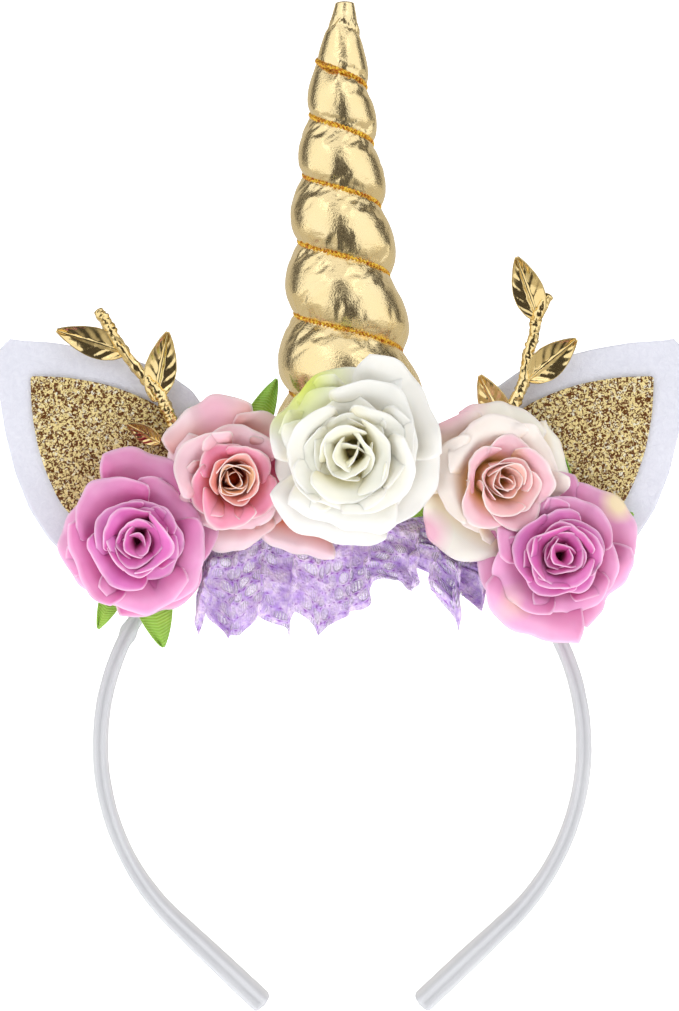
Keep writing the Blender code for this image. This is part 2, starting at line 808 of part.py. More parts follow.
headband()
horn()
horn_cord()
for key, side in (("left", -1), ("right", 1)):
    ear("ear_" + key, side)
    ear_panel("ear_panel_" + key, side)
    sprig("sprig_" + key, side, key)
for rose in ROSES:
    for petals in PETAL_LAYERS:
        petal_layer(rose, petals)
    rose_bud(rose)
for count, green in enumerate(GREEN_LEAVES, start=1):
    green_leaf(count, green)
lace_frill()
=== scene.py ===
# %% [markdown]
# # Dressing a unicorn horn headband
# The solid model of this headband is plain: it has the sizes and the places. In this lesson each soft piece
# gets its real surface and finish: satin, metallic cloth, felt, glitter, stamped metal, petals and lace.
# Every shape is a formula on a grid of points, worked out with numpy and put into a mesh in one go.

import math

import bmesh
import bpy
import numpy as np
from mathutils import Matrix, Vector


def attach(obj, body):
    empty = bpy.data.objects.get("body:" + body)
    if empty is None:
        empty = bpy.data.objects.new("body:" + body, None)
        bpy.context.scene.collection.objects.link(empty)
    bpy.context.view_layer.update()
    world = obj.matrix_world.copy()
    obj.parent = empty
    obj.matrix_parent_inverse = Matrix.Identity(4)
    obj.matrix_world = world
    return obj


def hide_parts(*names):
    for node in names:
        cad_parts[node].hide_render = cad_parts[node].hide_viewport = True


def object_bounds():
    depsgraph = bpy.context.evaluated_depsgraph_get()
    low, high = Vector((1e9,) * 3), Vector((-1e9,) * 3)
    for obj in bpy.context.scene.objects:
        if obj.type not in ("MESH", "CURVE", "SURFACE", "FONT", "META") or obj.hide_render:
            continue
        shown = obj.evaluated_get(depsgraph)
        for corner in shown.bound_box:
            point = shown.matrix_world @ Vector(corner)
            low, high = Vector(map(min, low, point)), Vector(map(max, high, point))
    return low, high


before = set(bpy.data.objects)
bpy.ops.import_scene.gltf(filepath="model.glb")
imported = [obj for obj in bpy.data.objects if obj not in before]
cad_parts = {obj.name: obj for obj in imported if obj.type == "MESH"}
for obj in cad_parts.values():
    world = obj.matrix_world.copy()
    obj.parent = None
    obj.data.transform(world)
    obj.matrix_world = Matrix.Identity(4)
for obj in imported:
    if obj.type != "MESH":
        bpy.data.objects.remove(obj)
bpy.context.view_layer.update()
MM = 0.001
TURN = 2 * math.pi
print("solid nodes:", len(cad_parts))

# %% [markdown]
# ## Camera, light and backdrop
# The photograph was taken straight on from a long way off, so a long lens a metre away is right: it keeps the
# band a true arc. Metallic cloth shows what it reflects. Two tall soft boxes left and right give the horn its
# two bright bands, and the dim space between them, behind the camera, gives the dark line down its middle.

# %% Camera
camera = bpy.data.objects.new("camera", bpy.data.cameras.new("camera"))
bpy.context.scene.collection.objects.link(camera)
camera.location = (-0.0007, -1.0, 0.0012)
camera.rotation_euler = (math.radians(90), 0, 0)
camera.data.lens = 131.6
bpy.context.scene.camera = camera
print("lens:", camera.data.lens, "mm")


# %% Soft boxes
def soft_box(name, place, aim, size, power):
    """A rectangular area lamp at place that faces aim."""
    lamp = bpy.data.lights.new(name, "AREA")
    lamp.shape = "RECTANGLE"
    lamp.size, lamp.size_y = size
    lamp.energy = power
    obj = bpy.data.objects.new(name, lamp)
    bpy.context.scene.collection.objects.link(obj)
    obj.location = place
    way = np.array(aim) - np.array(place)
    obj.rotation_euler = (math.atan2(math.hypot(way[0], way[1]), -way[2]), 0, math.atan2(-way[0], way[1]))
    return obj


left_box = soft_box("left_box", (-1.05, -0.62, 0.2), (0, 0, 0.03), (1.9, 2.3), 14.6)
right_box = soft_box("right_box", (1.05, -0.62, 0.2), (0, 0, 0.03), (1.9, 2.3), 14.6)
left_box.rotation_euler.rotate_axis("Z", math.radians(-14))
right_box.rotation_euler.rotate_axis("Z", math.radians(14))
soft_box("top_box", (0, -0.65, 1.15), (0, 0, 0.05), (1.5, 0.9), 4)

# %% [markdown]
# ## The room around
# The room is one world with three looks. The camera sees it white, as in a catalogue. Cloth gets a soft fill
# from all sides, so that the folds of the petals stay bright. Metal mirrors a dim warm room, which keeps its
# shadows deep.

# %% World
world = bpy.data.worlds.new("studio")
world.use_nodes = True
sky = world.node_tree
gloom = sky.nodes["Background"]
path, white, soft, lit, shown = (
    sky.nodes.new(f"ShaderNode{kind}") for kind in (
        "LightPath", "Background", "Background", "MixShader", "MixShader"
    )
)
for node, colour, strength in (
    (gloom, (1.0, 0.85, 0.72), 0.06), (white, (1, 1, 1), 1.0), (soft, (1, 0.98, 0.98), 0.23)
):
    node.inputs["Color"].default_value, node.inputs["Strength"].default_value = (*colour, 1), strength
for source, target in (
    (
        path.outputs["Is Diffuse Ray"], lit.inputs[0]
    ), (gloom.outputs[0], lit.inputs[1]), (soft.outputs[0], lit.inputs[2]),
    (path.outputs["Is Camera Ray"], shown.inputs[0]), (lit.outputs[0], shown.inputs[1]),
    (white.outputs[0], shown.inputs[2]), (shown.outputs[0], sky.nodes["World Output"].inputs["Surface"]),
):
    sky.links.new(source, target)
bpy.context.scene.world = world
bpy.context.scene.view_settings.view_transform = "Standard"
print("fill light on cloth:", soft.inputs["Strength"].default_value)

# %% [markdown]
# ## Meshes from grids
# Every piece below ends in this one step. A grid of points becomes a mesh by joining each point to the next
# one along its row and to the row below. The same step takes a stack of grids, so that thirty petals are one
# mesh.


# %% From points to a mesh
def grid_mesh(name, grids, around=False, merge=True, values=None):
    """A mesh from copies x rows x columns x 3 points: four neighbours make a face. around joins the last
    column to the first. values are named numbers, one for each point, for the materials. UV is column and
    row from 0 to 1."""
    grids = np.asarray(grids, float)
    if grids.ndim == 3:
        grids = grids[None]
    copies, rows, columns, _ = grids.shape
    index = np.arange(copies * rows * columns).reshape(copies, rows, columns)
    left = index if around else index[:, :, :-1]
    right = np.roll(index, -1, axis=2) if around else index[:, :, 1:]
    faces = np.stack([left[:, :-1], right[:, :-1], right[:, 1:], left[:, 1:]], axis=-1).reshape(-1, 4)
    across, down = np.meshgrid(np.arange(left.shape[2]), np.arange(rows - 1))
    corners = [(across, down), (across + 1, down), (across + 1, down + 1), (across, down + 1)]
    wide = columns if around else columns - 1
    square = np.stack([np.stack([a / wide, d / (rows - 1)], -1) for a, d in corners], axis=2)
    mesh = bpy.data.meshes.new(name)
    mesh.from_pydata(grids.reshape(-1, 3), [], faces)
    layer = mesh.uv_layers.new(name="cloth")
    layer.data.foreach_set("uv", np.tile(square.reshape(1, -1), (copies, 1)).ravel())
    for key, numbers in (values or {}).items():
        attribute = mesh.attributes.new(key, "FLOAT", "POINT")
        attribute.data.foreach_set(
            "value", np.broadcast_to(numbers, grids.shape[:3]).ravel().astype(np.float32)
        )
    if merge:
        shape = bmesh.new()
        shape.from_mesh(mesh)
        bmesh.ops.remove_doubles(shape, verts=shape.verts, dist=1e-6)
        bmesh.ops.recalc_face_normals(shape, faces=shape.faces)
        shape.to_mesh(mesh)
        shape.free()
    mesh.shade_smooth()
    obj = bpy.data.objects.new(name, mesh)
    bpy.context.scene.collection.objects.link(obj)
    return obj


trial = grid_mesh("trial", np.random.default_rng(0).uniform(size=(4, 5, 3)), merge=False)
print("a grid of 4 by 5 points makes", len(trial.data.polygons), "faces")
bpy.data.objects.remove(trial)

# %% Dressing a node
def dress(obj, material, slot, *nodes):
    """Gives a piece its material, and lets it stand for these nodes of the solid model."""
    obj.data.materials.clear()
    obj.data.materials.append(material)
    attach(obj, "root")
    if nodes:
        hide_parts(*nodes)
    print(f"{obj.name}: {len(obj.data.polygons)} faces for {', '.join(nodes) or 'no node'}")
    return obj


def thicken(obj, thickness):
    """Gives a sheet its cloth thickness, half of it on each side."""
    shell = obj.modifiers.new("thickness", "SOLIDIFY")
    shell.thickness = thickness
    shell.offset = 0
    return obj


print("nodes to dress:", len(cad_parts))

# %% [markdown]
# ## Smooth noise
# Cloth is never even. Random numbers on a coarse lattice, blended between their neighbours, give the slow
# unevenness of stuffing and folds. The seed is fixed, so each run gives the same headband.


# %% Lattice noise
def lattice_noise(x, y, seed):
    """Random numbers from -1 to 1 at whole x and y, blended between them by a cosine ease."""
    table = np.random.default_rng(seed).uniform(-1, 1, (97, 97))
    x0, y0 = np.floor(x).astype(int), np.floor(y).astype(int)
    ex = 0.5 - 0.5 * np.cos(np.pi * (x - x0))
    ey = 0.5 - 0.5 * np.cos(np.pi * (y - y0))

    def at(i, j):
        return table[i % 97, j % 97]

    low = at(x0, y0) * (1 - ex) + at(x0 + 1, y0) * ex
    high = at(x0, y0 + 1) * (1 - ex) + at(x0 + 1, y0 + 1) * ex
    return low * (1 - ey) + high * ey


def eased(value, low, high):
    """0 below low, 1 above high, and a smooth S between."""
    share = np.clip((value - low) / (high - low), 0, 1)
    return share * share * (3 - 2 * share)


print("noise between four lattice points:", round(float(lattice_noise(0.5, 0.5, 1)), 3))

# %% [markdown]
# ## Building materials with nodes
# A material is a chain of nodes. Written out one by one they hide the idea, so this helper places a node and
# fills its sockets from a small table: a number is set, and another node's output is linked.


# %% Node helper
def place(tree, kind, sockets=None, **settings):
    """Adds a node to the tree. settings are its own properties, and sockets maps an input to a value or
    an output."""
    node = tree.nodes.new(kind)
    for key, value in settings.items():
        setattr(node, key, value)
    for key, value in (sockets or {}).items():
        if isinstance(value, bpy.types.NodeSocket):
            tree.links.new(value, node.inputs[key])
        else:
            node.inputs[key].default_value = value
    return node


print("a node is added by", place.__name__)


# %% Material helper
def new_material(name, **shader):
    """A material with a Principled shader, whose plain values are set here by socket name."""
    material = bpy.data.materials.new(name)
    material.use_nodes = True
    principled = material.node_tree.nodes["Principled BSDF"]
    for key, value in shader.items():
        principled.inputs[key.replace("_", " ")].default_value = value
    return material, material.node_tree, principled


def math_node(tree, operation, *values):
    return place(tree, "ShaderNodeMath", dict(enumerate(values)), operation=operation).outputs[0]


print("materials so far:", len(bpy.data.materials))


# %% Sums on sockets
def times(tree, *values):
    return math_node(tree, "MULTIPLY", *values)


def plus(tree, *values):
    return math_node(tree, "ADD", *values)


def minus(tree, *values):
    return math_node(tree, "SUBTRACT", *values)


def ramp(tree, value, low, high):
    """0 at low, 1 at high, and a straight line between. low may be the larger one."""
    return place(tree, "ShaderNodeMapRange", {"Value": value, "From Min": low, "From Max": high}).outputs[0]


def cloudy(tree, vector, scale, detail):
    """Noise from 0 to 1. scale is how many lumps fit in a metre."""
    wanted = {"Vector": vector, "Scale": scale, "Detail": detail}
    return place(tree, "ShaderNodeTexNoise", wanted).outputs["Fac"]


def blend(tree, share, first, second):
    """Mixes two colours by a share."""
    node = place(tree, "ShaderNodeMix", {0: share}, data_type="RGBA")
    for socket, colour in ((node.inputs[6], first), (node.inputs[7], second)):
        if isinstance(colour, bpy.types.NodeSocket):
            tree.links.new(colour, socket)
        else:
            socket.default_value = (*colour, 1)
    return node.outputs[2]


def point_value(tree, name):
    """Reads one of the numbers that grid_mesh stored on the points."""
    return place(tree, "ShaderNodeAttribute", attribute_name=name).outputs["Fac"]


def object_place(tree):
    return place(tree, "ShaderNodeTexCoord").outputs["Object"]


print("helpers:", ", ".join(step.__name__ for step in (place, times, plus, minus, ramp, cloudy, blend)))

# %% [markdown]
# ## One weave for every cloth
# Satin, ribbon and petals are all woven, only finer or coarser. Two sets of waves at right angles make
# threads that pass over and under each other. The group gives their height, for a bump.


# %% The thread group
def thread_group():
    """Height of a plain weave: two crossed sine waves, and a fine noise that breaks them up."""
    group = bpy.data.node_groups.new("woven_threads", "ShaderNodeTree")
    for name, kind in (
        ("Place", "NodeSocketVector"), ("Threads", "NodeSocketFloat"), ("Unevenness", "NodeSocketFloat")
    ):
        group.interface.new_socket(name, in_out="INPUT", socket_type=kind)
    group.interface.new_socket("Height", in_out="OUTPUT", socket_type="NodeSocketFloat")
    given = place(group, "NodeGroupInput")
    split = place(group, "ShaderNodeSeparateXYZ", {0: given.outputs["Place"]})
    one = math_node(group, "SINE", times(group, split.outputs[0], given.outputs["Threads"]))
    other = math_node(group, "SINE", times(group, split.outputs[2], given.outputs["Threads"]))
    woven = times(group, one, other)
    noise = cloudy(group, given.outputs["Place"], 900.0, 2.0)
    rough = times(group, noise, given.outputs["Unevenness"])
    height = plus(group, times(group, woven, 0.25), rough)
    result = place(group, "NodeGroupOutput")
    group.links.new(height, result.inputs["Height"])
    return group


THREADS = thread_group()


def woven(tree, threads, unevenness):
    """The height of the thread group, on object coordinates."""
    node = place(tree, "ShaderNodeGroup", node_tree=THREADS)
    tree.links.new(object_place(tree), node.inputs["Place"])
    node.inputs["Threads"].default_value = threads
    node.inputs["Unevenness"].default_value = unevenness
    return node.outputs["Height"]


def bump(tree, principled, height, strength, distance):
    """Raises the surface's normal by a height in metres times distance."""
    node = place(tree, "ShaderNodeBump", {"Strength": strength, "Distance": distance, "Height": height})
    tree.links.new(node.outputs["Normal"], principled.inputs["Normal"])


print("thread group:", len(THREADS.nodes), "nodes")

# %% [markdown]
# ## The band
# A springy plastic strip with white satin pulled tight round it. Its path is an arc that runs out into two
# straight legs. A rounded section is carried along the path: one array holds the path, one the section, and
# their product is the whole skin. A shallow dip along the front is where the satin's edge is turned under.

# %% Band path
BAND_RADIUS = 65.4 * MM
BAND_CENTRE = -63.7 * MM
BAND_HALF = (2.0 * MM, 5.2 * MM)
WRAP_END = -71 * MM
ARC_END = math.radians(136.7)
LEG = 33 * MM


def band_path(count):
    """Points, outward normals and size share at even steps from one tip to the other: an arc, then a
    tangent."""
    half = BAND_RADIUS * ARC_END + LEG
    run = np.linspace(-half, half, count)
    arc = np.clip(run / BAND_RADIUS, -ARC_END, ARC_END)
    beyond = run - arc * BAND_RADIUS
    x = BAND_RADIUS * np.sin(arc) + beyond * np.cos(arc)
    z = BAND_CENTRE + BAND_RADIUS * np.cos(arc) - beyond * np.sin(arc)
    left = half - np.abs(run)
    end = np.sqrt(1 - (1 - np.clip(left / (1.6 * MM), 0.0, 1)) ** 2)
    size = (1 + 0.38 * eased(-left, -60 * MM, -9 * MM)) * end
    return run, np.stack([x, 0 * x, z], -1), np.stack([np.sin(arc), 0 * arc, np.cos(arc)], -1), size


print("band length:", round(2 * (BAND_RADIUS * ARC_END + LEG) / MM), "mm")

# %% Satin skin
def satin_band():
    """A rounded box section, width to the fourth power plus thickness to the fourth power, carried along
    the path."""
    run, middle, normal, size = band_path(560)
    turn = np.linspace(0, TURN, 40, endpoint=False)
    power = 2 / 4.2
    out = np.sign(np.cos(turn)) * np.abs(np.cos(turn)) ** power * BAND_HALF[0]
    deep = np.sign(np.sin(turn)) * np.abs(np.sin(turn)) ** power * BAND_HALF[1]
    crease = np.exp(-(((turn - TURN * 0.75) / 0.10) ** 2)) * 0.9 * MM
    pull = lattice_noise(run[:, None] / (5 * MM), turn[None] * 2 + 30, 3) * 0.07 * MM
    ripple = lattice_noise(run[:, None] / (1.3 * MM), turn[None] * 3 + 9, 4) * 0.025 * MM
    wrap_end = np.exp(-(((run[:, None] - WRAP_END + 2.5 * MM * np.sin(turn)) / (1.3 * MM)) ** 2)) * 0.5 * MM
    out = out[None] * size[:, None] + (pull + ripple + wrap_end * size[:, None]) * np.cos(turn)
    deep = (deep + crease)[None] * size[:, None] + pull * 0.5
    points = middle[:, None] + normal[:, None] * out[..., None] + np.array([0, 1, 0]) * deep[..., None]
    return grid_mesh("band_satin", points, around=True)


print("satin section:", [round(2 * half / MM, 1) for half in BAND_HALF], "mm")

# %% [markdown]
# ## Satin
# Satin floats its threads over each other, so it shines along the band more than across it. A low roughness
# with a little sheen and a very fine thread bump is enough at this scale.


# %% Satin material
def satin_material():
    material, tree, shader = new_material(
        "satin", Base_Color=(0.80, 0.815, 0.85, 1), Roughness=0.38,
        Specular_IOR_Level=0.45, Sheen_Weight=0.3, Sheen_Roughness=0.4,
    )
    cloth = woven(tree, 9000.0, 0.6)
    cloud = cloudy(tree, object_place(tree), 60.0, 3.0)
    tone = blend(tree, cloud, (0.53, 0.54, 0.57), (0.63, 0.64, 0.66))
    tree.links.new(tone, shader.inputs["Base Color"])
    bump(tree, shader, cloth, 0.35, 0.00006)
    return material


satin = satin_material()
dress(satin_band(), satin, "satin", "headband")

# %% [markdown]
# ## The horn
# A long cone of metallic cloth, stuffed tight, with a cord wound round it from tip to base. The cord pulls
# the cloth in, and the stuffing swells between its turns. The shape is a radius that depends on two things:
# the height, and how far a point is between one turn of the cord and the next. Fine pleats start at the cord,
# where the cloth is gathered, and die out on the swell.

# %% Horn sizes
HORN_BASE = 3.4 * MM
HORN_HEIGHT = 134.2 * MM
HORN_WIDE = 21.4 * MM
HORN_TIP = 2.3 * MM
SADDLE_RADIUS = BAND_RADIUS + 2.2 * MM
# height share of the first turn, the drop to the next one, and how much that drop grows
FIRST, STEP, GROWTH = 0.9545, 0.0939, 0.00605
# height share, radius share from tip to base, lean in mm
HORN_ROWS = np.array(
    [
        (0.000, 1.000, 2.3),
        (0.079, 0.990, 2.2),
        (0.228, 0.905, 1.8),
        (0.430, 0.690, 0.3),
        (0.567, 0.585, -0.5),
        (0.700, 0.460, -0.7),
        (0.833, 0.315, -0.6),
        (0.920, 0.165, 0.1),
        (1.000, 0.000, 0.8),
    ]
)


def smooth_table(at, places, values, reach=61):
    """Reads a table through a smooth curve: straight lines between its rows, then a running mean over
    reach."""
    fine = np.linspace(places[0] - 0.08, places[-1] + 0.08, 800)
    straight = np.interp(fine, places, values)
    kernel = np.hanning(reach)
    padded = np.pad(straight, reach // 2, mode="edge")
    return np.interp(at, fine, np.convolve(padded, kernel / kernel.sum(), mode="valid"))


def horn_envelope(height):
    share = (height - HORN_BASE) / HORN_HEIGHT
    radius = HORN_TIP + (HORN_WIDE - HORN_TIP) * smooth_table(share, HORN_ROWS[:, 0], HORN_ROWS[:, 1])
    return radius, smooth_table(share, HORN_ROWS[:, 0], HORN_ROWS[:, 2]) * MM


def turns_at(height):
    """How many turns of the cord pass the front above this height: the turns widen evenly towards the
    base."""
    share = (height - HORN_BASE) / HORN_HEIGHT
    return (-STEP + np.sqrt(STEP * STEP + 4 * GROWTH * (FIRST - share))) / (2 * GROWTH)


def height_at_turn(turn):
    return HORN_BASE + HORN_HEIGHT * (FIRST - STEP * turn - GROWTH * turn**2)


print("turns at the base:", round(float(turns_at(HORN_BASE)), 2))


# %% Horn skin
def horn_radius(height, angle):
    """The envelope, less a groove at each whole turn, plus pleats that fade away from the groove."""
    envelope, lean = horn_envelope(height)
    turn = turns_at(height) - angle / TURN
    phase = turn - np.floor(turn)
    fade = eased(turn, -0.35, 0.55)
    swell = np.abs(np.sin(np.pi * phase**1.12)) ** 0.66
    near = np.exp(-phase / 0.13) + np.exp(-(1 - phase) / 0.22)
    pleats = lattice_noise(angle * 8 + turn * 3, turn * 1.7, 11) * 0.55
    pleats = pleats + lattice_noise(angle * 19 - turn * 5, turn * 2.4, 12) * 0.4
    lumps = lattice_noise(angle * 1.6 + 8, turn * 2.5, 13) * 0.016
    groove = 0.20 * (1 - swell) * fade
    return envelope * (
        0.98 - groove + 0.022 * pleats * np.clip(near, 0, 1) * fade + lumps * swell * fade
    ), lean


def horn_skin(rows, columns):
    """Rows of points from the saddle on the band up to the tip, and how firmly the cord and the ends hold
    each."""
    height = np.linspace(HORN_BASE - 3.5 * MM, HORN_BASE + HORN_HEIGHT - 0.6 * MM, rows)[:, None]
    angle = np.linspace(0, TURN, columns, endpoint=False)[None]
    radius, lean = horn_radius(height, angle)
    x = lean + radius * np.sin(angle)
    y = -radius * np.cos(angle)
    saddle = np.sqrt(SADDLE_RADIUS**2 - x**2) + BAND_CENTRE
    z = np.maximum(height + 0 * angle, saddle)
    turn = turns_at(height) - angle / TURN
    from_cord = np.abs(turn - np.round(turn)) + 9 * (turn < 0.4)
    held = (from_cord < 0.035) | (height < HORN_BASE + 1.5 * MM) | (height > HORN_BASE + HORN_HEIGHT * 0.975)
    return np.stack([x, y, z], -1), held | (z > height + 0.1 * MM)


print("horn radius at the base:", round(float(horn_envelope(HORN_BASE)[0]) / MM, 1), "mm")

# %% [markdown]
# ## Stuffing it
# A formula gives even pleats, and real ones are not. So the horn is stuffed by a cloth simulation: the cord's
# turns are pinned, the cloth is cut a little too large for its shape, and pressure inside blows it out
# between the turns, where the spare length gathers into pleats. The solver works on a copy ten times as
# large, since it was made for clothes, and not for a headband.


# %% Pressure
def stuffed(points, held, frames=26):
    """The points after a cloth simulation with pressure inside and without gravity. held points stay in
    place."""
    copy = grid_mesh("stuffing", points * 10, around=True, merge=False)
    grip = copy.vertex_groups.new(name="held")
    grip.add(np.flatnonzero(held).tolist(), 1.0, "REPLACE")
    cloth = copy.modifiers.new("cloth", "CLOTH")
    given = cloth.settings
    given.quality, given.mass, given.air_damping = 7, 0.25, 2.0
    given.tension_stiffness = given.compression_stiffness = 40
    given.shear_stiffness, given.bending_stiffness = 12, 0.5
    given.vertex_group_mass = "held"
    given.shrink_min = given.shrink_max = -0.035
    given.use_pressure, given.uniform_pressure_force = True, 8
    given.effector_weights.gravity = 0
    cloth.point_cache.frame_start, cloth.point_cache.frame_end = 1, frames
    for frame_number in range(1, frames + 1):
        bpy.context.scene.frame_set(frame_number)
    result = copy.evaluated_get(bpy.context.evaluated_depsgraph_get()).to_mesh()
    place_now = np.empty(len(result.vertices) * 3)
    result.vertices.foreach_get("co", place_now)
    bpy.data.objects.remove(copy)
    bpy.context.scene.frame_set(1)
    place_now = place_now.reshape(points.shape) / 10
    moved = np.linalg.norm(place_now - points, axis=-1)
    print("cloth moved by up to", round(float(moved.max()) / MM, 2), "mm")
    return place_now


def horn_closed(body):
    """Adds the underside, which follows the band, and the rounded tip, to the rows of the body."""
    middle = body[0].mean(axis=0)
    share = np.linspace(0, 1, 8)[:, None]
    under_x = middle[0] + (body[0, :, 0] - middle[0]) * share
    under_y = body[0, :, 1] * share
    under = np.stack([under_x, under_y, np.sqrt(SADDLE_RADIUS**2 - under_x**2) + BAND_CENTRE], -1)
    ease = np.linspace(0, np.pi / 2, 6)[1:, None]
    top = body[-1].mean(axis=0)
    tip_xy = top[:2] + (body[-1, :, :2] - top[:2]) * np.cos(ease)[..., None]
    tip_z = body[-1, :, 2] + 0.6 * MM * np.sin(ease)
    points = np.concatenate([under[:-1], body, np.concatenate([tip_xy, tip_z[..., None]], -1)])
    return grid_mesh("horn_cloth", points, around=True)


print("horn height for the solver:", round(10 * HORN_HEIGHT, 2), "m")

# %% [markdown]
# ## Metallic cloth
# The horn's cloth is a knit with gold foil on it. The foil cracks into tiny scales, so the reflection of the
# soft boxes breaks up into a fine glitter at its edges. Cells a third of a millimetre across tilt the normal
# a little.


# %% Metallic cloth material
def foil_material():
    material, tree, shader = new_material("gold_foil_cloth", Metallic=1.0, Roughness=0.26)
    spot = object_place(tree)
    scales = place(tree, "ShaderNodeTexVoronoi", {"Vector": spot, "Scale": 2300.0}, feature="SMOOTH_F1")
    knit = cloudy(tree, spot, 1500.0, 2.0)
    slow = cloudy(tree, spot, 90.0, 2.0)
    height = plus(tree, times(tree, scales.outputs["Distance"], 0.7), knit)
    bump(tree, shader, height, 0.38, 0.00014)
    tone = blend(tree, slow, (0.93, 0.73, 0.36), (0.99, 0.84, 0.52))
    tree.links.new(tone, shader.inputs["Base Color"])
    rough = plus(tree, times(tree, knit, 0.16), 0.18)
    tree.links.new(rough, shader.inputs["Roughness"])
    return material


foil = foil_material()
body, held = horn_skin(204, 104)
horn = horn_closed(stuffed(body, held))
smooth = horn.modifiers.new("smooth", "SUBSURF")
smooth.levels = smooth.render_levels = 1
dress(horn, foil, "gold_cloth", "horn")

# %% [markdown]
# ## The cord
# Two thin metallic strands twisted together lie in the groove. Each strand is a small circle carried along
# the groove's helix, while its centre circles the helix itself, half a turn from the other strand.


# %% Twisted cord
CORD_PITCH, STRAND_OFFSET, STRAND_RADIUS = 2.3 * MM, 0.29 * MM, 0.36 * MM


def groove_path(count):
    """The helix of the groove, a cord's radius outside the cloth, with its outward and sideways
    directions."""
    turn = np.linspace(0.62, 6.62, count)
    angle = TURN * (turn % 1)
    height = height_at_turn(turn)
    radius, lean = horn_radius(height, angle)
    out = np.stack([np.sin(angle), -np.cos(angle), 0 * angle], -1)
    radius = np.convolve(np.pad(radius, 20, mode="edge"), np.full(41, 1 / 41), mode="valid")
    centre = out * (radius + 0.35 * MM)[:, None] + np.stack([lean, 0 * lean, height], -1)
    along = np.gradient(centre, axis=0)
    along /= np.linalg.norm(along, axis=1, keepdims=True)
    side = np.cross(along, out)
    run = np.concatenate([[0], np.cumsum(np.linalg.norm(np.diff(centre, axis=0), axis=1))])
    return centre, out, side, run


def twisted_cord():
    centre, out, side, run = groove_path(1400)
    around = np.linspace(0, TURN, 8, endpoint=False)
    end = np.sqrt(1 - (1 - np.clip((run[-1] / 2 - np.abs(run - run[-1] / 2)) / (0.4 * MM), 0, 1)) ** 2)
    strands = []
    for half in (0, math.pi):
        twist = TURN * run / CORD_PITCH + half
        middle = centre + STRAND_OFFSET * (out * np.cos(twist)[:, None] + side * np.sin(twist)[:, None])
        ring = out[:, None] * np.cos(around)[None, :, None] + side[:, None] * np.sin(around)[None, :, None]
        strands.append(middle[:, None] + STRAND_RADIUS * end[:, None, None] * ring)
    return grid_mesh("cord_twist", np.stack(strands), around=True)


print("cord length:", round(float(groove_path(1400)[3][-1]) / MM), "mm")

# %% Cord material
def cord_material():
    material, tree, shader = new_material("gold_cord", Metallic=0.35, Roughness=0.35)
    grain = cloudy(tree, object_place(tree), 1500.0, 2.0)
    # Noise patches of dark red-brown are painted shade, as in the gaps between the strands.
    lit = ramp(tree, grain, 0.38, 0.62)
    tone = blend(tree, lit, (0.50, 0.13, 0.006), (1.0, 0.70, 0.07))
    tree.links.new(tone, shader.inputs["Base Color"])
    bump(tree, shader, grain, 0.6, 0.0002)
    return material


dress(twisted_cord(), cord_material(), "gold_cord", "horn_cord")

# %% [markdown]
# ## Felt ears
# Each ear is a leaf of white felt, two millimetres thick, glued to the front edge of the band. The outline is
# a table of half widths read through a smooth curve. Felt is never quite flat, so the sheet bows a little.

# %% Ear outline
EAR_LENGTH = 79.6 * MM
EAR_HALF = 27.8 * MM
EAR_LEAN = math.radians(45.2)
EAR_SEAT = math.radians(34.6)
EAR_FORWARD, FELT = 6.3 * MM, 1.9 * MM
SEAT = np.array([63.7 * MM * math.sin(EAR_SEAT), 63.7 * MM * math.cos(EAR_SEAT) + BAND_CENTRE])
# length share, outer and inner edge as shares of half the width
EAR_ROWS = np.array(
    [
        (0.00, 0.89, 0.60),
        (0.13, 0.96, 0.80),
        (0.29, 1.00, 0.93),
        (0.42, 0.99, 1.00),
        (0.53, 0.92, 0.95),
        (0.65, 0.77, 0.79),
        (0.77, 0.56, 0.58),
        (0.87, 0.35, 0.38),
        (0.95, 0.15, 0.18),
        (0.99, 0.03, 0.10),
        (1.01, -0.03, 0.07),
    ]
)


def ear_place(side, along, across, forward):
    """From the ear's own lengths, along it and across it towards the horn, to a place in the model."""
    x = SEAT[0] + along * math.sin(EAR_LEAN) - across * math.cos(EAR_LEAN)
    z = SEAT[1] + along * math.cos(EAR_LEAN) + across * math.sin(EAR_LEAN)
    return np.stack([side * x, -forward + 0 * x, z], -1)


def ear_bow(along, across):
    """How far the felt leans back: a little towards the tip and at the outer edge."""
    return 2.2 * MM * (along / EAR_LENGTH) ** 2 * eased(
        along, 20 * MM, 80 * MM
    ) + 0.9 * MM * (across / EAR_HALF) ** 2


print("ears lean out by", round(math.degrees(EAR_LEAN), 1), "degrees")

# %% Ear sheet
def ear_sheet(name, side):
    """Rows from the foot to the tip. Each row spans the two edges; the last ones round off the tip."""
    share = 0.982 * (1 - (1 - np.linspace(0, 1, 90)) ** 1.3)
    across = np.linspace(-1, 1, 61)[None]
    outer = smooth_table(share, EAR_ROWS[:, 0], EAR_ROWS[:, 1], 31)
    inner = smooth_table(share, EAR_ROWS[:, 0], EAR_ROWS[:, 2], 31)
    left, right = (-outer * EAR_HALF)[:, None], (inner * EAR_HALF)[:, None]
    sideways = (left + right) / 2 + (right - left) / 2 * across
    along = (share * EAR_LENGTH)[:, None] + 0 * across
    foot = 8 * MM * (1 - share[:, None]) ** 6 * (1 - (sideways / EAR_HALF) ** 2)
    along = along - foot * 0.4
    lumps = lattice_noise(along / (9 * MM), sideways / (9 * MM) + 40, 21 if side > 0 else 22) * 0.25 * MM
    points = ear_place(side, along, sideways, EAR_FORWARD - ear_bow(along, sideways) + lumps)
    return thicken(grid_mesh(name, points), FELT)


print("felt ear:", round(EAR_LENGTH / MM, 1), "by", round(2 * EAR_HALF / MM, 1), "mm")

# %% [markdown]
# ## Felt
# Felt is a mat of fibres with no weave at all. Noise stretched in two directions stands for the fibres, and a
# strong sheen lights the fuzz at the edges.


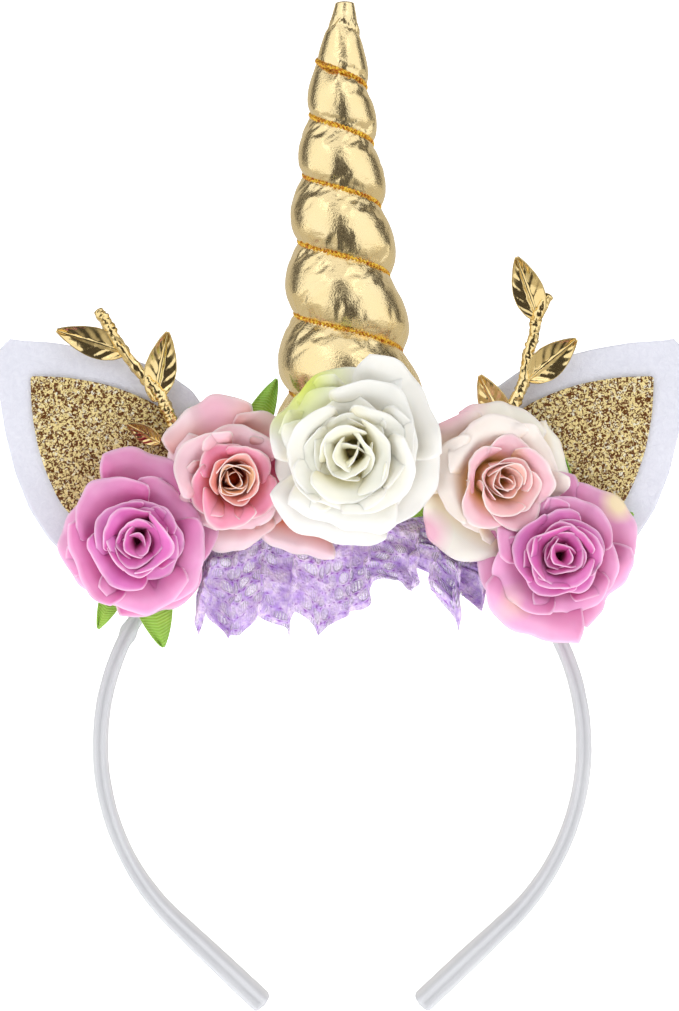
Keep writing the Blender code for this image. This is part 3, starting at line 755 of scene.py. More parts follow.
# %% Felt material
def felt_material():
    material, tree, shader = new_material(
        "white_felt", Base_Color=(0.86, 0.875, 0.90, 1), Roughness=0.95,
        Specular_IOR_Level=0.2, Sheen_Weight=0.5, Sheen_Roughness=0.5,
    )
    spot = object_place(tree)
    mat = place(tree, "ShaderNodeTexNoise", {"Vector": spot, "Scale": 420.0, "Detail": 5.0, "Roughness": 0.7})
    mat.inputs["Distortion"].default_value = 1.5
    fine = cloudy(tree, spot, 2500.0, 2.0)
    height = plus(tree, mat.outputs["Fac"], times(tree, fine, 0.4))
    bump(tree, shader, height, 0.55, 0.0004)
    tone = ramp(tree, mat.outputs["Fac"], 0.3, 0.7)
    tree.links.new(blend(tree, tone, (0.69, 0.70, 0.79), (0.78, 0.79, 0.87)), shader.inputs["Base Color"])
    return material


felt = felt_material()
for side, word in ((-1, "left"), (1, "right")):
    ear = dress(ear_sheet(f"felt_ear_{word}", side), felt, "felt", f"ear_{word}")

# %% [markdown]
# ## Glitter panels
# A thin card covered in coarse gold flakes is glued on each ear, a finger's breadth inside the felt's edge.
# It is the same kind of sheet with another table, seated on the bowed felt.

# %% Panel sheet
PANEL_FOOT = 24 * MM
PANEL_REACH = 42.6 * MM
PANEL_HALF = 19.0 * MM
PANEL_FORWARD, CARD = 8.0 * MM, 0.7 * MM
# length share, edge as a share of half the width
PANEL_ROWS = np.array(
    [
        (0.00, 0.94), (0.17, 1.00), (0.32, 0.97), (0.50, 0.82), (0.65, 0.65), (0.83, 0.37), (0.94, 0.15),
        (1.00, 0.02),
    ]
)


def panel_sheet(name, side):
    share = np.linspace(0, 1, 60)
    half = np.interp(share, PANEL_ROWS[:, 0], PANEL_ROWS[:, 1])
    half = np.convolve(np.pad(half, 3, mode="reflect", reflect_type="odd"), np.full(7, 1 / 7), mode="valid")
    across = np.linspace(-1, 1, 50)[None] * (np.maximum(half, 0.005) * PANEL_HALF)[:, None]
    along = (PANEL_FOOT + share * PANEL_REACH)[:, None] + 0 * across
    points = ear_place(side, along, across, PANEL_FORWARD - ear_bow(along, across))
    return thicken(grid_mesh(name, points), CARD)


print("panel:", round(PANEL_REACH / MM, 1), "by", round(2 * PANEL_HALF / MM, 1), "mm")

# %% [markdown]
# ## Glitter
# Each flake is a cell with its own tilt and its own shade of gold. The flakes with the highest random value
# are
# painted towards cream white: painted glints. The cell's random colour tilts the normal, so that some flakes
# catch a lamp and most do not. A noise cut at its middle leaves the dark glue between the grains.


# %% Glitter material
def glitter_material():
    material, tree, shader = new_material("gold_glitter", Metallic=0.3, Roughness=0.3)
    spot = object_place(tree)
    flakes = place(tree, "ShaderNodeTexVoronoi", {"Vector": spot, "Scale": 1500.0}, feature="F1")
    grains = place(
        tree, "ShaderNodeTexNoise", {"Vector": spot, "Scale": 1250.0, "Detail": 2.0, "Distortion": 1.2}
    )
    shade = place(tree, "ShaderNodeSeparateColor", {0: flakes.outputs["Color"]})
    lit = ramp(tree, grains.outputs["Fac"], 0.46, 0.53)
    # The flakes with the highest random value are painted cream white: painted glints.
    painted_glint = ramp(tree, shade.outputs[0], 0.72, 1.0)
    gold = blend(tree, painted_glint, (0.98, 0.80, 0.36), (1.0, 0.97, 0.80))
    tree.links.new(blend(tree, lit, (0.15, 0.05, 0.008), gold), shader.inputs["Base Color"])
    height = plus(tree, shade.outputs[1], times(tree, lit, 0.8))
    bump(tree, shader, height, 0.5, 0.0004)
    rough = plus(tree, times(tree, shade.outputs[2], 0.4), 0.15)
    tree.links.new(rough, shader.inputs["Roughness"])
    return material


glitter = glitter_material()
for side, word in ((-1, "left"), (1, "right")):
    panel = dress(panel_sheet(f"glitter_panel_{word}", side), glitter, "glitter", f"ear_panel_{word}")

# %% [markdown]
# ## Gold sprigs
# Thin metal stamped and gilded to look like a twig: a knobbly stem with pointed leaves that have a raised rib
# and slanting side veins. The stem is a circle of uneven radius carried along a smooth path through a few
# places.

# %% Sprig stems
# right and up in mm, from photograph to model by the scale of the band
STEM_LEFT = np.array(
    [
        (-41.8, 12.2), (-45.2, 22.5), (-47.0, 27.0), (-49.2, 31.6), (-53.3, 35.9), (-59.4, 43.6),
        (-62.8, 49.6), (-65.6, 53.8),
    ]
)
STEM_RIGHT = np.array(
    [
        (41.8, 12.2), (44.3, 22.2), (45.8, 27.6), (48.2, 33.3), (49.6, 40.5), (51.2, 46.2), (52.2, 51.6),
        (55.6, 57.9),
    ]
)
SPRIG_FORWARD, SHEET_METAL = 10.5 * MM, 0.45 * MM
STEM_STEPS = 220


def smooth_route(places, count):
    """A curve through every place: cubic pieces whose slopes come from the neighbours on each side."""
    places = np.asarray(places, float)
    padded = np.concatenate([2 * places[:1] - places[1:2], places, 2 * places[-1:] - places[-2:-1]])
    at = np.linspace(0, len(places) - 1.0001, count)
    i = at.astype(int)
    t = (at - i)[:, None]
    a, b, c, d = padded[i], padded[i + 1], padded[i + 2], padded[i + 3]
    return b + 0.5 * t * (c - a + t * (2 * a - 5 * b + 4 * c - d + t * (3 * (b - c) + d - a)))


def stem_tube(places, seed):
    """A circle carried along the route. Its radius swells at every knob of the bark."""
    route = smooth_route(places, STEM_STEPS) * MM
    middle = np.stack([route[:, 0], np.full(STEM_STEPS, -SPRIG_FORWARD), route[:, 1]], -1)
    along = np.gradient(middle, axis=0)
    along /= np.linalg.norm(along, axis=1, keepdims=True)
    front = np.array([0.0, -1.0, 0.0])
    side = np.cross(along, front)
    around = np.linspace(0, TURN, 20, endpoint=False)
    step = np.arange(STEM_STEPS)[:, None]
    knobs = np.abs(
        lattice_noise(step / 8.0, around[None] * 1.3, seed)
    ) + 0.3 * lattice_noise(step / 3.0, around[None] * 2.1, seed + 1)
    size = np.interp(np.arange(STEM_STEPS), (0, 60, 140, 205, 219), (1.5, 1.5, 1.35, 1.35, 1.15))[:, None]
    end = np.sqrt(1 - (1 - np.clip(np.minimum(step, STEM_STEPS - 1 - step) / 4, 0, 1)) ** 2)
    radius = size * (0.95 + 0.38 * knobs) * end * MM
    ring = side[:, None] * np.cos(around)[None, :, None] + front * np.sin(around)[None, :, None]
    return middle[:, None] + ring * radius[..., None]


print("the left stem ends at", STEM_LEFT[-1].tolist(), "mm")

# %% Metal leaves
# base right and up, tip right and up, half width, all in mm, and twist in degrees
LEAVES_LEFT = (
    (-57.6, 42.0, -76.3, 48.0, 4.1, 14), (-50.2, 29.0, -46.6, 47.6, 4.3, -12),
    (-48.6, 18.0, -57.6, 23.0, 2.4, 40),
)
LEAVES_RIGHT = (
    (52.6, 50.6, 46.6, 67.6, 4.2, 16), (49.6, 34.6, 62.6, 45.6, 4.4, -14), (44.0, 21.0, 36.8, 36.0, 4.0, 10)
)


def metal_leaf(row):
    """Half width: a sine along the leaf, pointed at the tip. Height: a rib down the middle and slanting
    veins."""
    x0, z0, x1, z1, half, twist = row
    base, tip = np.array([x0, z0]) * MM, np.array([x1, z1]) * MM
    length = np.linalg.norm(tip - base)
    along = (tip - base) / length
    side = np.array([along[1], -along[0]])
    v = np.linspace(0, 1, 60)[:, None]
    u = np.linspace(-1, 1, 41)[None]
    wide = half * MM * (np.sin(np.pi * v**0.85) ** 0.8 * (1 - 0.15 * v) + 0.05)
    flat = base + along * (v * length)[..., None] + side * (u * wide)[..., None]
    rib = np.exp(-((u / 0.11) ** 2)) * 0.5
    veins = 0.15 * np.cos(TURN * (v * 5.5 - np.abs(u) * 1.3)) * np.abs(u) ** 0.5 * (1 - np.abs(u) ** 4)
    dish = 0.9 * np.abs(u) ** 1.6 - 1.1 * np.sin(np.pi * v) + 1.2 * v**2
    turn = math.tan(math.radians(twist)) * u * wide
    forward = SPRIG_FORWARD + (rib + veins + dish + 0.3) * MM + turn
    return np.stack([flat[..., 0], -forward, flat[..., 1]], -1)


def sprig(word, places, leaves, seed):
    """The stem and its leaves as one piece of metal."""
    stem = grid_mesh(f"sprig_metal_{word}", stem_tube(places, seed), around=True)
    blades = thicken(
        grid_mesh(f"sprig_blades_{word}", np.stack([metal_leaf(row) for row in leaves])), SHEET_METAL
    )
    return stem, blades


print("metal leaves:", len(LEAVES_LEFT) + len(LEAVES_RIGHT))

# %% Polished gold
def gilt_material():
    material, tree, shader = new_material(
        "polished_gilt", Base_Color=(0.93, 0.66, 0.26, 1), Metallic=1.0, Roughness=0.16
    )
    spot = object_place(tree)
    dents = cloudy(tree, spot, 330.0, 2.0)
    worn = cloudy(tree, spot, 120.0, 3.0)
    tone = blend(tree, worn, (0.86, 0.62, 0.24), (0.99, 0.84, 0.48))
    tree.links.new(tone, shader.inputs["Base Color"])
    bump(tree, shader, dents, 0.35, 0.0006)
    return material


gilt = gilt_material()
for word, places, leaves, seed in (
    ("left", STEM_LEFT, LEAVES_LEFT, 31), ("right", STEM_RIGHT, LEAVES_RIGHT, 35)
):
    stem, blades = sprig(word, places, leaves, seed)
    dress(stem, gilt, "gold_metal", f"sprig_{word}")
    dress(blades, gilt, "gold_metal")

# %% [markdown]
# ## A petal
# A cloth rose is rings of stamped petals. One petal is a bent sheet: its middle line leaves the rose's centre
# at some steepness and bends outwards in an arc, its sides wrap round the centre, and its rim rolls back and
# ruffles. A whole ring of petals is one array, since every number may differ from petal to petal.


# %% Petal formula
PETAL_ROWS, PETAL_COLUMNS, PETAL_CLOTH = 25, 30, 0.24 * MM


def petals(rows, seed):
    """Many petals at once, as copies x rows x columns x 3 points in the rose's frame, whose Z faces out.
    rows has a line for each petal, in mm and degrees: direction, start radius, start height, length, half
    width,
    steepness at the foot, steepness at the rim, wrap radius, rim roll, ruffle."""
    rng = np.random.default_rng(seed)
    direction, start, height, length, half, steep, bent, wrap, roll, ruffle = (
        column[:, None, None] for column in np.array(rows, float).T
    )
    count = len(rows)
    v = np.linspace(0, 1, PETAL_ROWS)[None, :, None]
    u = np.linspace(-1, 1, PETAL_COLUMNS)[None, None, :]
    phase, second = rng.uniform(0, TURN, (2, count, 1, 1))
    corner = rng.uniform(0.22, 0.40, (count, 1, 1))
    peak = rng.uniform(-0.6, 1.0, (count, 1, 1))
    lean = rng.uniform(-0.12, 0.12, (count, 1, 1))
    fold = rng.uniform(-0.05, 0.42, (count, 1, 1))
    cut = 1 - corner * np.abs(u + lean) ** 2.4 + 0.05 * np.cos(3 * u + phase) + 0.012 * np.sin(
        10 * u + second
    )
    along = v * (cut + 0.05 * peak * np.exp(-((u / 0.22) ** 2)) * v)
    foot, rim = np.radians(steep), np.radians(bent)
    bend = rim - foot + 1e-6
    tilt = foot + bend * along
    out = start + length * (np.sin(tilt) - np.sin(foot)) / bend
    up = height + length * (np.cos(foot) - np.cos(tilt)) / bend
    wide = half * (0.30 + 0.70 * np.sin(np.pi / 2 * np.clip(along / 0.72, 0, 1)) ** 1.2)
    turned = u * wide / wrap
    sideways = wrap * np.sin(turned)
    inwards = wrap * (1 - np.cos(turned)) + fold * wide * (np.sqrt(u**2 + 0.01) - 0.1) * v
    edge = np.maximum(eased(v, 0.68, 1.05), eased(np.abs(u), 0.70, 1.1) * eased(v, 0.2, 0.65))
    waves = np.sin(u * 4.2 + phase) + 0.4 * np.sin(u * 8.1 + second) + 0.14 * np.sin(u * 17 + phase + 3 * v)
    dent = np.sin(3.1 * u * v + 2 * second) * np.sin(4 * v + phase)
    inwards = inwards - roll * edge**2 + ruffle * (waves * v**2.6 + 0.7 * dent * v)
    out = out - inwards * np.sin(tilt)
    up = up + inwards * np.cos(tilt)
    turn = np.radians(direction)
    x = out * np.cos(turn) - sideways * np.sin(turn)
    y = out * np.sin(turn) + sideways * np.cos(turn)
    points = np.stack([x, y, up + 0 * x], -1) * MM
    rim_mask = np.maximum(eased(v, 0.93, 1.0), eased(np.abs(u), 0.94, 1.0) * eased(v, 0.3, 0.6)) + 0 * x
    return points, {"rim": rim_mask, "tip": along + 0 * x, "shade": rng.uniform(0, 1, (count, 1, 1)) + 0 * x}


print("points on a petal:", PETAL_ROWS * PETAL_COLUMNS)

# %% [markdown]
# ## A rose
# The heart is a bundle of narrow petals that stand up. Round it come rings of wider and flatter ones. Each
# ring is turned against the one inside it, so that a petal covers the gap between two others. The rims of the
# inner rings end at nearly the same height, which leaves deep dark folds between them. A table gives the
# rings.

# %% Rings of petals
# petals, start radius, start height, length, half width, foot, rim, wrap, roll, ruffle (mm and degrees)
OPEN_RINGS = (
    (5, 3.0, 3.0, 20.5, 14.5, 24, -8, 40, 2.6, 0.95),
    (5, 3.0, 4.6, 17.0, 12.5, 44, 12, 22, 2.4, 0.85),
    (5, 3.0, 6.2, 14.0, 10.6, 64, 32, 14, 1.9, 0.70),
    (5, 2.6, 7.4, 12.6, 8.8, 76, 46, 10.5, 1.5, 0.60),
    (4, 1.9, 8.2, 11.2, 7.2, 84, 58, 7.5, 1.1, 0.50),
    (3, 0.9, 8.8, 10.2, 5.2, 92, 70, 5.0, 0.7, 0.35),
)
CUPPED_RINGS = (
    (5, 3.0, 3.0, 20.5, 14.0, 22, -6, 42, 2.4, 0.95),
    (5, 3.0, 4.6, 16.5, 12.5, 42, 12, 22, 2.4, 0.80),
    (5, 4.6, 6.2, 12.8, 9.8, 68, 40, 10, 2.0, 0.55),
    (4, 4.2, 7.2, 10.6, 8.0, 80, 62, 6.6, 1.0, 0.35),
    (4, 3.4, 7.4, 9.6, 6.2, 86, 80, 4.8, 0.5, 0.20),
    (3, 2.3, 7.4, 9.0, 4.6, 90, 88, 3.2, 0.2, 0.12),
)
FULL_RINGS = (
    (6, 3.0, 3.0, 20.5, 15.0, 26, -4, 38, 2.6, 1.15),
    (5, 3.0, 4.6, 18.2, 14.5, 44, 8, 24, 2.6, 1.05),
    (5, 3.0, 6.2, 15.8, 12.8, 60, 26, 17, 2.2, 0.90),
    (5, 3.0, 7.2, 13.2, 10.2, 74, 44, 11.5, 1.7, 0.70),
    (4, 2.4, 8.0, 11.4, 7.8, 82, 58, 8.0, 1.2, 0.50),
    (3, 1.2, 8.8, 10.2, 5.4, 90, 72, 5.0, 0.7, 0.35),
)


counts = [sum(ring[0] for ring in rings) for rings in (OPEN_RINGS, CUPPED_RINGS, FULL_RINGS)]
print("petals of an open, a cupped and a full rose:", counts)


# %% A line for each petal
def rose_rows(size, turned, seed, rings):
    """The table's rings as one line for each petal, with small differences, and the ring number of each."""
    rng = np.random.default_rng(seed)
    rows, ring_of = [], []
    for number, (count, *ring) in enumerate(rings):
        for petal in range(count):
            direction = turned + 360 / count * (petal + 0.5 * (number % 2)) + rng.uniform(-17, 17)
            scale = size * (1 + rng.uniform(-0.11, 0.11))
            foot, rim = ring[4] + rng.uniform(-7, 7), ring[5] + rng.uniform(-14, 14)
            lengths = [value * scale for value in ring[:4]]
            rows.append((direction, *lengths, foot, rim, ring[6] * scale, ring[7], ring[8]))
            ring_of.append(number / (len(rings) - 1))
    return rows, np.array(ring_of)


print("first petal of an open rose:", [round(value, 1) for value in rose_rows(1, 0, 1, OPEN_RINGS)[0][0]])


# %% Turning a rose to face out
def facing(points, place_mm, yaw, pitch, slide=(0, 0)):
    """Slides a rose's heart to one side, turns its own frame to face out, and moves it: right, forwards
    and up."""
    points = points + points[..., 2:] * np.array([slide[0], slide[1], 0])
    tip, spin = math.radians(pitch), math.radians(yaw)
    right = np.array([math.cos(spin), math.sin(spin), 0])
    out = np.array([math.sin(spin) * math.cos(tip), -math.cos(spin) * math.cos(tip), -math.sin(tip)])
    up = np.cross(out, right)
    points = points[..., :1] * right + points[..., 1:2] * up + points[..., 2:] * out
    return points + np.array([place_mm[0], -place_mm[1], place_mm[2]]) * MM


forwards = -facing(np.array([0, 0, 10 * MM]), (0, 0, 0), 0, 0)[1]
print("a point 10 mm up in a rose comes forwards by", round(float(forwards) / MM), "mm")


# %% Petals and base
def rose_petals(name, place_mm, size, yaw, pitch, slide, turned, seed, rings):
    """All the petals of a rose as one mesh."""
    rows, ring_of = rose_rows(size, turned, seed, rings)
    points, values = petals(rows, seed + 1)
    values["ring"] = ring_of[:, None, None] + 0 * values["tip"]
    return thicken(
        grid_mesh(name, facing(points, place_mm, yaw, pitch, slide), merge=False, values=values), PETAL_CLOTH
    )


def rose_base(name, place_mm, size, yaw, pitch, slide):
    """The stub behind the petals: a radius that depends on height, turned once round."""
    height = np.array([-1.7, -1.7, -1.2, 1.5, 4.0, 6.0, 8.0, 9.0, 9.6]) * size
    radius = np.array([0.0, 3.6, 4.2, 4.3, 4.4, 3.6, 2.2, 1.0, 0.0]) * size
    turn = np.linspace(0, TURN, 32, endpoint=False)[None]
    points = np.stack(
        [radius[:, None] * np.cos(turn), radius[:, None] * np.sin(turn), height[:, None] + 0 * turn], -1
    )
    values = {key: 0 * turn + 0 * height[:, None] for key in ("rim", "tip", "ring", "shade")}
    return grid_mesh(name, facing(points * MM, place_mm, yaw, pitch, slide), around=True, values=values)


print("a rose has a base and", len(FULL_RINGS), "rings")

# %% [markdown]
# ## Petal colour
# Printed cloth petals run from a deep colour in the folds to a lighter one near the rim, and end in a thin
# pale line along the cut edge. The deep fold colour is partly the cloth's own and partly painted shade, and
# pale patches mixed towards the rim colour are painted highlights. The group mixes those colours from the
# numbers stored on the points.


# %% Petal colour group
def petal_group():
    """Colour by ring, outer to heart, then pale patches of painted highlight, then the fold colour towards
    each petal's foot, partly painted shade in the folds, then the pale rim.
    """
    group = bpy.data.node_groups.new("petal_colour", "ShaderNodeTree")
    for name in ("Outer", "Middle", "Heart", "Fold colour and shade", "Rim and painted highlight"):
        group.interface.new_socket(name, in_out="INPUT", socket_type="NodeSocketColor")
    group.interface.new_socket("Fold reach", in_out="INPUT", socket_type="NodeSocketFloat")
    group.interface.new_socket("Colour", in_out="OUTPUT", socket_type="NodeSocketColor")
    given = place(group, "NodeGroupInput").outputs
    tip, ring, rim, shade = (point_value(group, name) for name in ("tip", "ring", "rim", "shade"))
    near = ramp(group, ring, 0.15, 0.42)
    deep = ramp(group, ring, 0.45, 0.75)
    body = blend(group, deep, blend(group, near, given["Outer"], given["Middle"]), given["Heart"])
    moved = plus(group, tip, times(group, minus(group, shade, 0.5), 0.3))
    open_part = ramp(group, moved, 0.2, given["Fold reach"])
    # Pale patches mixed towards the rim colour: painted highlights.
    cloud = cloudy(group, object_place(group), 160.0, 2.0)
    painted_highlight = ramp(group, cloud, 0.42, 0.75)
    body = blend(group, times(group, painted_highlight, 0.22), body, given["Rim and painted highlight"])
    # The fold colour towards each petal's foot: the cloth's deeper colour there, and painted shade in the
    # folds.
    body = blend(group, open_part, given["Fold colour and shade"], body)
    edged = blend(group, times(group, rim, 0.8), body, given["Rim and painted highlight"])
    result = place(group, "NodeGroupOutput")
    group.links.new(edged, result.inputs["Colour"])
    return group


# %% Dye spot group
def tint_group():
    """1 at a centre and 0 beyond a reach from it: where the dye of a petal changes."""
    group = bpy.data.node_groups.new("dye_spot", "ShaderNodeTree")
    group.interface.new_socket("Centre", in_out="INPUT", socket_type="NodeSocketVector")
    group.interface.new_socket("Reach", in_out="INPUT", socket_type="NodeSocketFloat")
    group.interface.new_socket("Mask", in_out="OUTPUT", socket_type="NodeSocketFloat")
    given = place(group, "NodeGroupInput").outputs
    gap = place(
        group, "ShaderNodeVectorMath", {0: object_place(group), 1: given["Centre"]}, operation="DISTANCE"
    )
    share = math_node(group, "DIVIDE", gap.outputs["Value"], given["Reach"])
    mask = ramp(group, share, 1.0, 0.35)
    result = place(group, "NodeGroupOutput")
    group.links.new(mask, result.inputs["Mask"])
    return group


PETAL_COLOUR, DYE_SPOT = petal_group(), tint_group()


print("petal colour group:", len(PETAL_COLOUR.nodes), "nodes")


# %% Petal material
def petal_material(name, outer, middle, heart, fold, rim, fold_shade_reach, spots=()):
    """One rose's cloth. spots are places in mm, right, forwards and up, with a reach and the colour there."""
    material, tree, shader = new_material(
        name, Roughness=0.6, Specular_IOR_Level=0.25, Sheen_Weight=0.2, Sheen_Roughness=0.4
    )
    shader.inputs["Subsurface Weight"].default_value = 0.35
    shader.inputs["Subsurface Scale"].default_value = 1.2 * MM
    shader.inputs["Subsurface Radius"].default_value = (1.0, 0.85, 0.75)
    node = place(tree, "ShaderNodeGroup", node_tree=PETAL_COLOUR)
    # fold is the deeper colour and painted shade towards each petal's foot; rim also gives the painted
    # highlights.
    for key, colour in (("Outer", outer), ("Middle", middle), ("Heart", heart), ("Fold colour and shade", fold), ("Rim and painted highlight", rim)):
        node.inputs[key].default_value = (*colour, 1)
    node.inputs["Fold reach"].default_value = fold_shade_reach
    colour = node.outputs["Colour"]
    for right, forwards, up, reach, dye in spots:
        spot = place(tree, "ShaderNodeGroup", node_tree=DYE_SPOT)
        spot.inputs["Centre"].default_value = (right * MM, -forwards * MM, up * MM)
        spot.inputs["Reach"].default_value = reach * MM
        colour = blend(tree, spot.outputs["Mask"], colour, dye)
    tree.links.new(colour, shader.inputs["Base Color"])
    cloth = woven(tree, 12000.0, 0.5)
    bump(tree, shader, cloth, 0.25, 0.00008)
    return material


print("dye spot group:", len(DYE_SPOT.nodes), "nodes")

# %% [markdown]
# ## Five roses
# Two mauve roses at the ends, a pink and a cream one with cupped hearts inside them, and the white one in
# front of the horn. The dye runs: a lime corner on the white rose, yellow on the mauve rims, rose pink on the
# cream petals.

# %% Rose cloths
LIME, YELLOW, HOT_PINK, BLUSH = (0.78, 0.90, 0.16), (0.93, 0.72, 0.46), (0.88, 0.20, 0.38), (0.92, 0.48, 0.60)
# Each cloth's fourth colour is its fold colour, partly painted shade; its fifth, the rim colour, also gives
# the painted highlight patches.
mauve_left = petal_material(
    "mauve_petals_left", (0.82, 0.34, 0.58), (0.76, 0.20, 0.56), (0.74, 0.17, 0.50), (0.52, 0.012, 0.24),
    (0.93, 0.60, 0.80), 0.95, ((-66.0, 14.0, -27.0, 7.0, YELLOW),),
)
mauve_right = petal_material(
    "mauve_petals_right", (0.82, 0.37, 0.60), (0.74, 0.19, 0.54), (0.70, 0.13, 0.44), (0.48, 0.01, 0.20),
    (0.93, 0.60, 0.80), 0.95, ((45.0, 14.0, -24.0, 8.0, YELLOW), (74.0, 14.0, 2.0, 6.0, YELLOW)),
)
pink = petal_material(
    "pink_petals", (0.98, 0.67, 0.73), (0.96, 0.28, 0.44), (0.98, 0.54, 0.30), (0.60, 0.12, 0.04),
    (0.99, 0.83, 0.82), 0.75, ((-17.0, 14.0, 12.0, 10.0, HOT_PINK), (-34.0, 14.0, 26.0, 8.0, BLUSH)),
)
white = petal_material(
    "white_petals", (0.90, 0.89, 0.83), (0.91, 0.90, 0.80), (0.93, 0.91, 0.72), (0.88, 0.78, 0.42),
    (0.95, 0.94, 0.90), 0.65, ((-15.0, 24.0, 36.5, 19.0, LIME),),
)
cream = petal_material(
    "cream_petals", (0.98, 0.94, 0.82), (0.95, 0.48, 0.58), (0.96, 0.52, 0.46), (0.92, 0.58, 0.20),
    (0.99, 0.88, 0.84), 0.7, ((27.0, 16.0, 28.0, 13.0, BLUSH), (22.0, 14.0, -6.0, 8.0, BLUSH)),
)
print("rose cloths:", ", ".join(cloth.name for cloth in (mauve_left, mauve_right, pink, white, cream)))

# %% The roses
# name, place in mm (right, forwards, up), size, yaw, pitch, slide, turn, seed, rings, cloth, slot
ROSES = (
    ("rose1", (-54.5, 9.0, -7.5), 0.96, -4, 4, (0.10, 0.02), 10, 101, OPEN_RINGS, mauve_left, "mauve_petals"),
    ("rose2", (-30.0, 9.0, 9.6), 0.88, 4, 2, (0.06, -0.12), 40, 121, CUPPED_RINGS, pink, "pink_petals"),
    ("rose3", (3.6, 18.5, 16.6), 1.03, -4, 4, (-0.04, -0.06), 25, 147, FULL_RINGS, white, "white_petals"),
    ("rose4", (35.8, 10.0, 9.8), 0.94, 6, 2, (0.42, -0.14), 5, 161, CUPPED_RINGS, cream, "cream_petals"),
    ("rose5", (56.6, 9.0, -12.0), 0.95, 2, 0, (0.06, 0.0), 30, 181, OPEN_RINGS, mauve_right, "mauve_petals"),
)
for name, at, size, yaw, pitch, slide, turned, seed, rings, material, slot in ROSES:
    rose = rose_petals(f"{name}_petals", at, size, yaw, pitch, slide, turned, seed, rings)
    dress(rose, material, slot, *(f"{name}_{part}" for part in ("outer", "middle", "inner", "bud")))
    dress(rose_base(f"{name}_base", at, size, yaw, pitch, slide), material, slot)

# %% [markdown]
# ## Two petals below the white rose
# Two pink petals peep out under the white rose. They use the same petal formula, and start in front of the
# band, below the foot of the horn, so that they don't run through it.

# %% Petals below
under = [(-105, 9.5, 0.5, 10.0, 11, 2, -6, 40, 2.0, 0.9), (-62, 9.5, 0, 6.5, 9, 2, -6, 40, 1.6, 0.8)]
points, values = petals(under, 211)
values["ring"] = 0 * values["tip"]
under_mesh = grid_mesh(
    "rose2_under_petals", facing(points, (-8.0, 9.6, 7.0), 0, 0), merge=False, values=values
)
dress(thicken(under_mesh, PETAL_CLOTH), pink, "pink_petals")

# %% [markdown]
# ## Green leaves
# Small leaves of ribbed green ribbon peep out behind the roses. Each is a pointed sheet folded along its
# middle. The ribs run across it, and are a bump on the leaf's own UV. Their crests are also painted a lighter
# green: a painted highlight.

# %% Leaf places
RIBBON = 0.35 * MM
# foot right and up, tip right and up, half width and forwards, all in mm
GREEN_LEAVES = (
    ((-27.0, 14.0), (-17.6, 35.2), 3.6, 8.6),
    ((-32.0, 14.0), (-41.2, 27.4), 3.4, 8.6),
    ((-57.0, -12.0), (-65.4, -31.9), 3.4, 8.6),
    ((-53.5, -12.0), (-47.9, -36.8), 5.2, 8.6),
    ((57.3, -7.0), (59.0, 14.6), 4.4, 9.6),
    ((61.0, -10.0), (78.0, -0.9), 4.2, 9.6),
    ((54.0, -15.5), (42.4, -27.6), 2.6, 8.6),
    ((34.0, 6.0), (15.7, -2.0), 2.6, 8.9),
)


def green_leaf(row):
    """Half width: a sine that is fullest near the foot. The two halves rise from a fold down the middle."""
    (x0, z0), (x1, z1), half, forward = row
    base, tip = np.array([x0, z0]) * MM, np.array([x1, z1]) * MM
    along = tip - base
    side = np.array([along[1], -along[0]]) / np.linalg.norm(along)
    v = np.linspace(0, 1, 40)[:, None]
    u = np.linspace(-1, 1, 21)[None]
    wide = half * MM * (np.sin(np.pi * v**0.75) ** 0.75 + 0.04)
    flat = base + along * v[..., None] + side * (u * wide)[..., None]
    depth = forward * MM + 0.8 * MM * np.abs(u) * np.sin(np.pi * v) + 0.6 * MM * np.sin(2.4 * v + 4 * u)
    return np.stack([flat[..., 0], -depth, flat[..., 1]], -1)


def ribbon_material():
    material, tree, shader = new_material(
        "green_ribbon", Roughness=0.5, Sheen_Weight=0.3, Sheen_Roughness=0.3
    )
    ribs = place(tree, "ShaderNodeSeparateXYZ", {0: place(tree, "ShaderNodeTexCoord").outputs["UV"]})
    slant = math_node(tree, "ABSOLUTE", minus(tree, ribs.outputs[0], 0.5))
    wave = math_node(tree, "SINE", plus(tree, times(tree, ribs.outputs[1], 190.0), times(tree, slant, 16.0)))
    share = plus(tree, times(tree, wave, 0.5), 0.5)
    slow = place(tree, "ShaderNodeTexNoise", {"Vector": object_place(tree), "Scale": 120.0})
    tone = blend(tree, slow.outputs["Fac"], (0.14, 0.38, 0.02), (0.38, 0.66, 0.06))
    # The crests of the ribs are painted a lighter, yellower green: a painted highlight.
    tree.links.new(
        blend(tree, times(tree, share, 0.35), tone, (0.52, 0.76, 0.20)), shader.inputs["Base Color"]
    )
    bump(tree, shader, share, 0.6, 0.0002)
    return material


leaf_names = [f"green_leaf_{number}" for number in range(1, 9)]
green = thicken(grid_mesh("green_leaves", np.stack([green_leaf(row) for row in GREEN_LEAVES])), RIBBON)
dress(green, ribbon_material(), "green_cloth", *leaf_names)

# %% [markdown]
# ## Lace frill
# A strip of lavender lace is gathered and glued under the roses, and its scalloped points hang down. The
# sheet's columns follow fold lines from a table, with soft crumples added. The holes are in the material: a
# honeycomb of round sheer windows, cut through by alpha, with darker knots between them.

# %% Lace sheet
LACE = 0.3 * MM
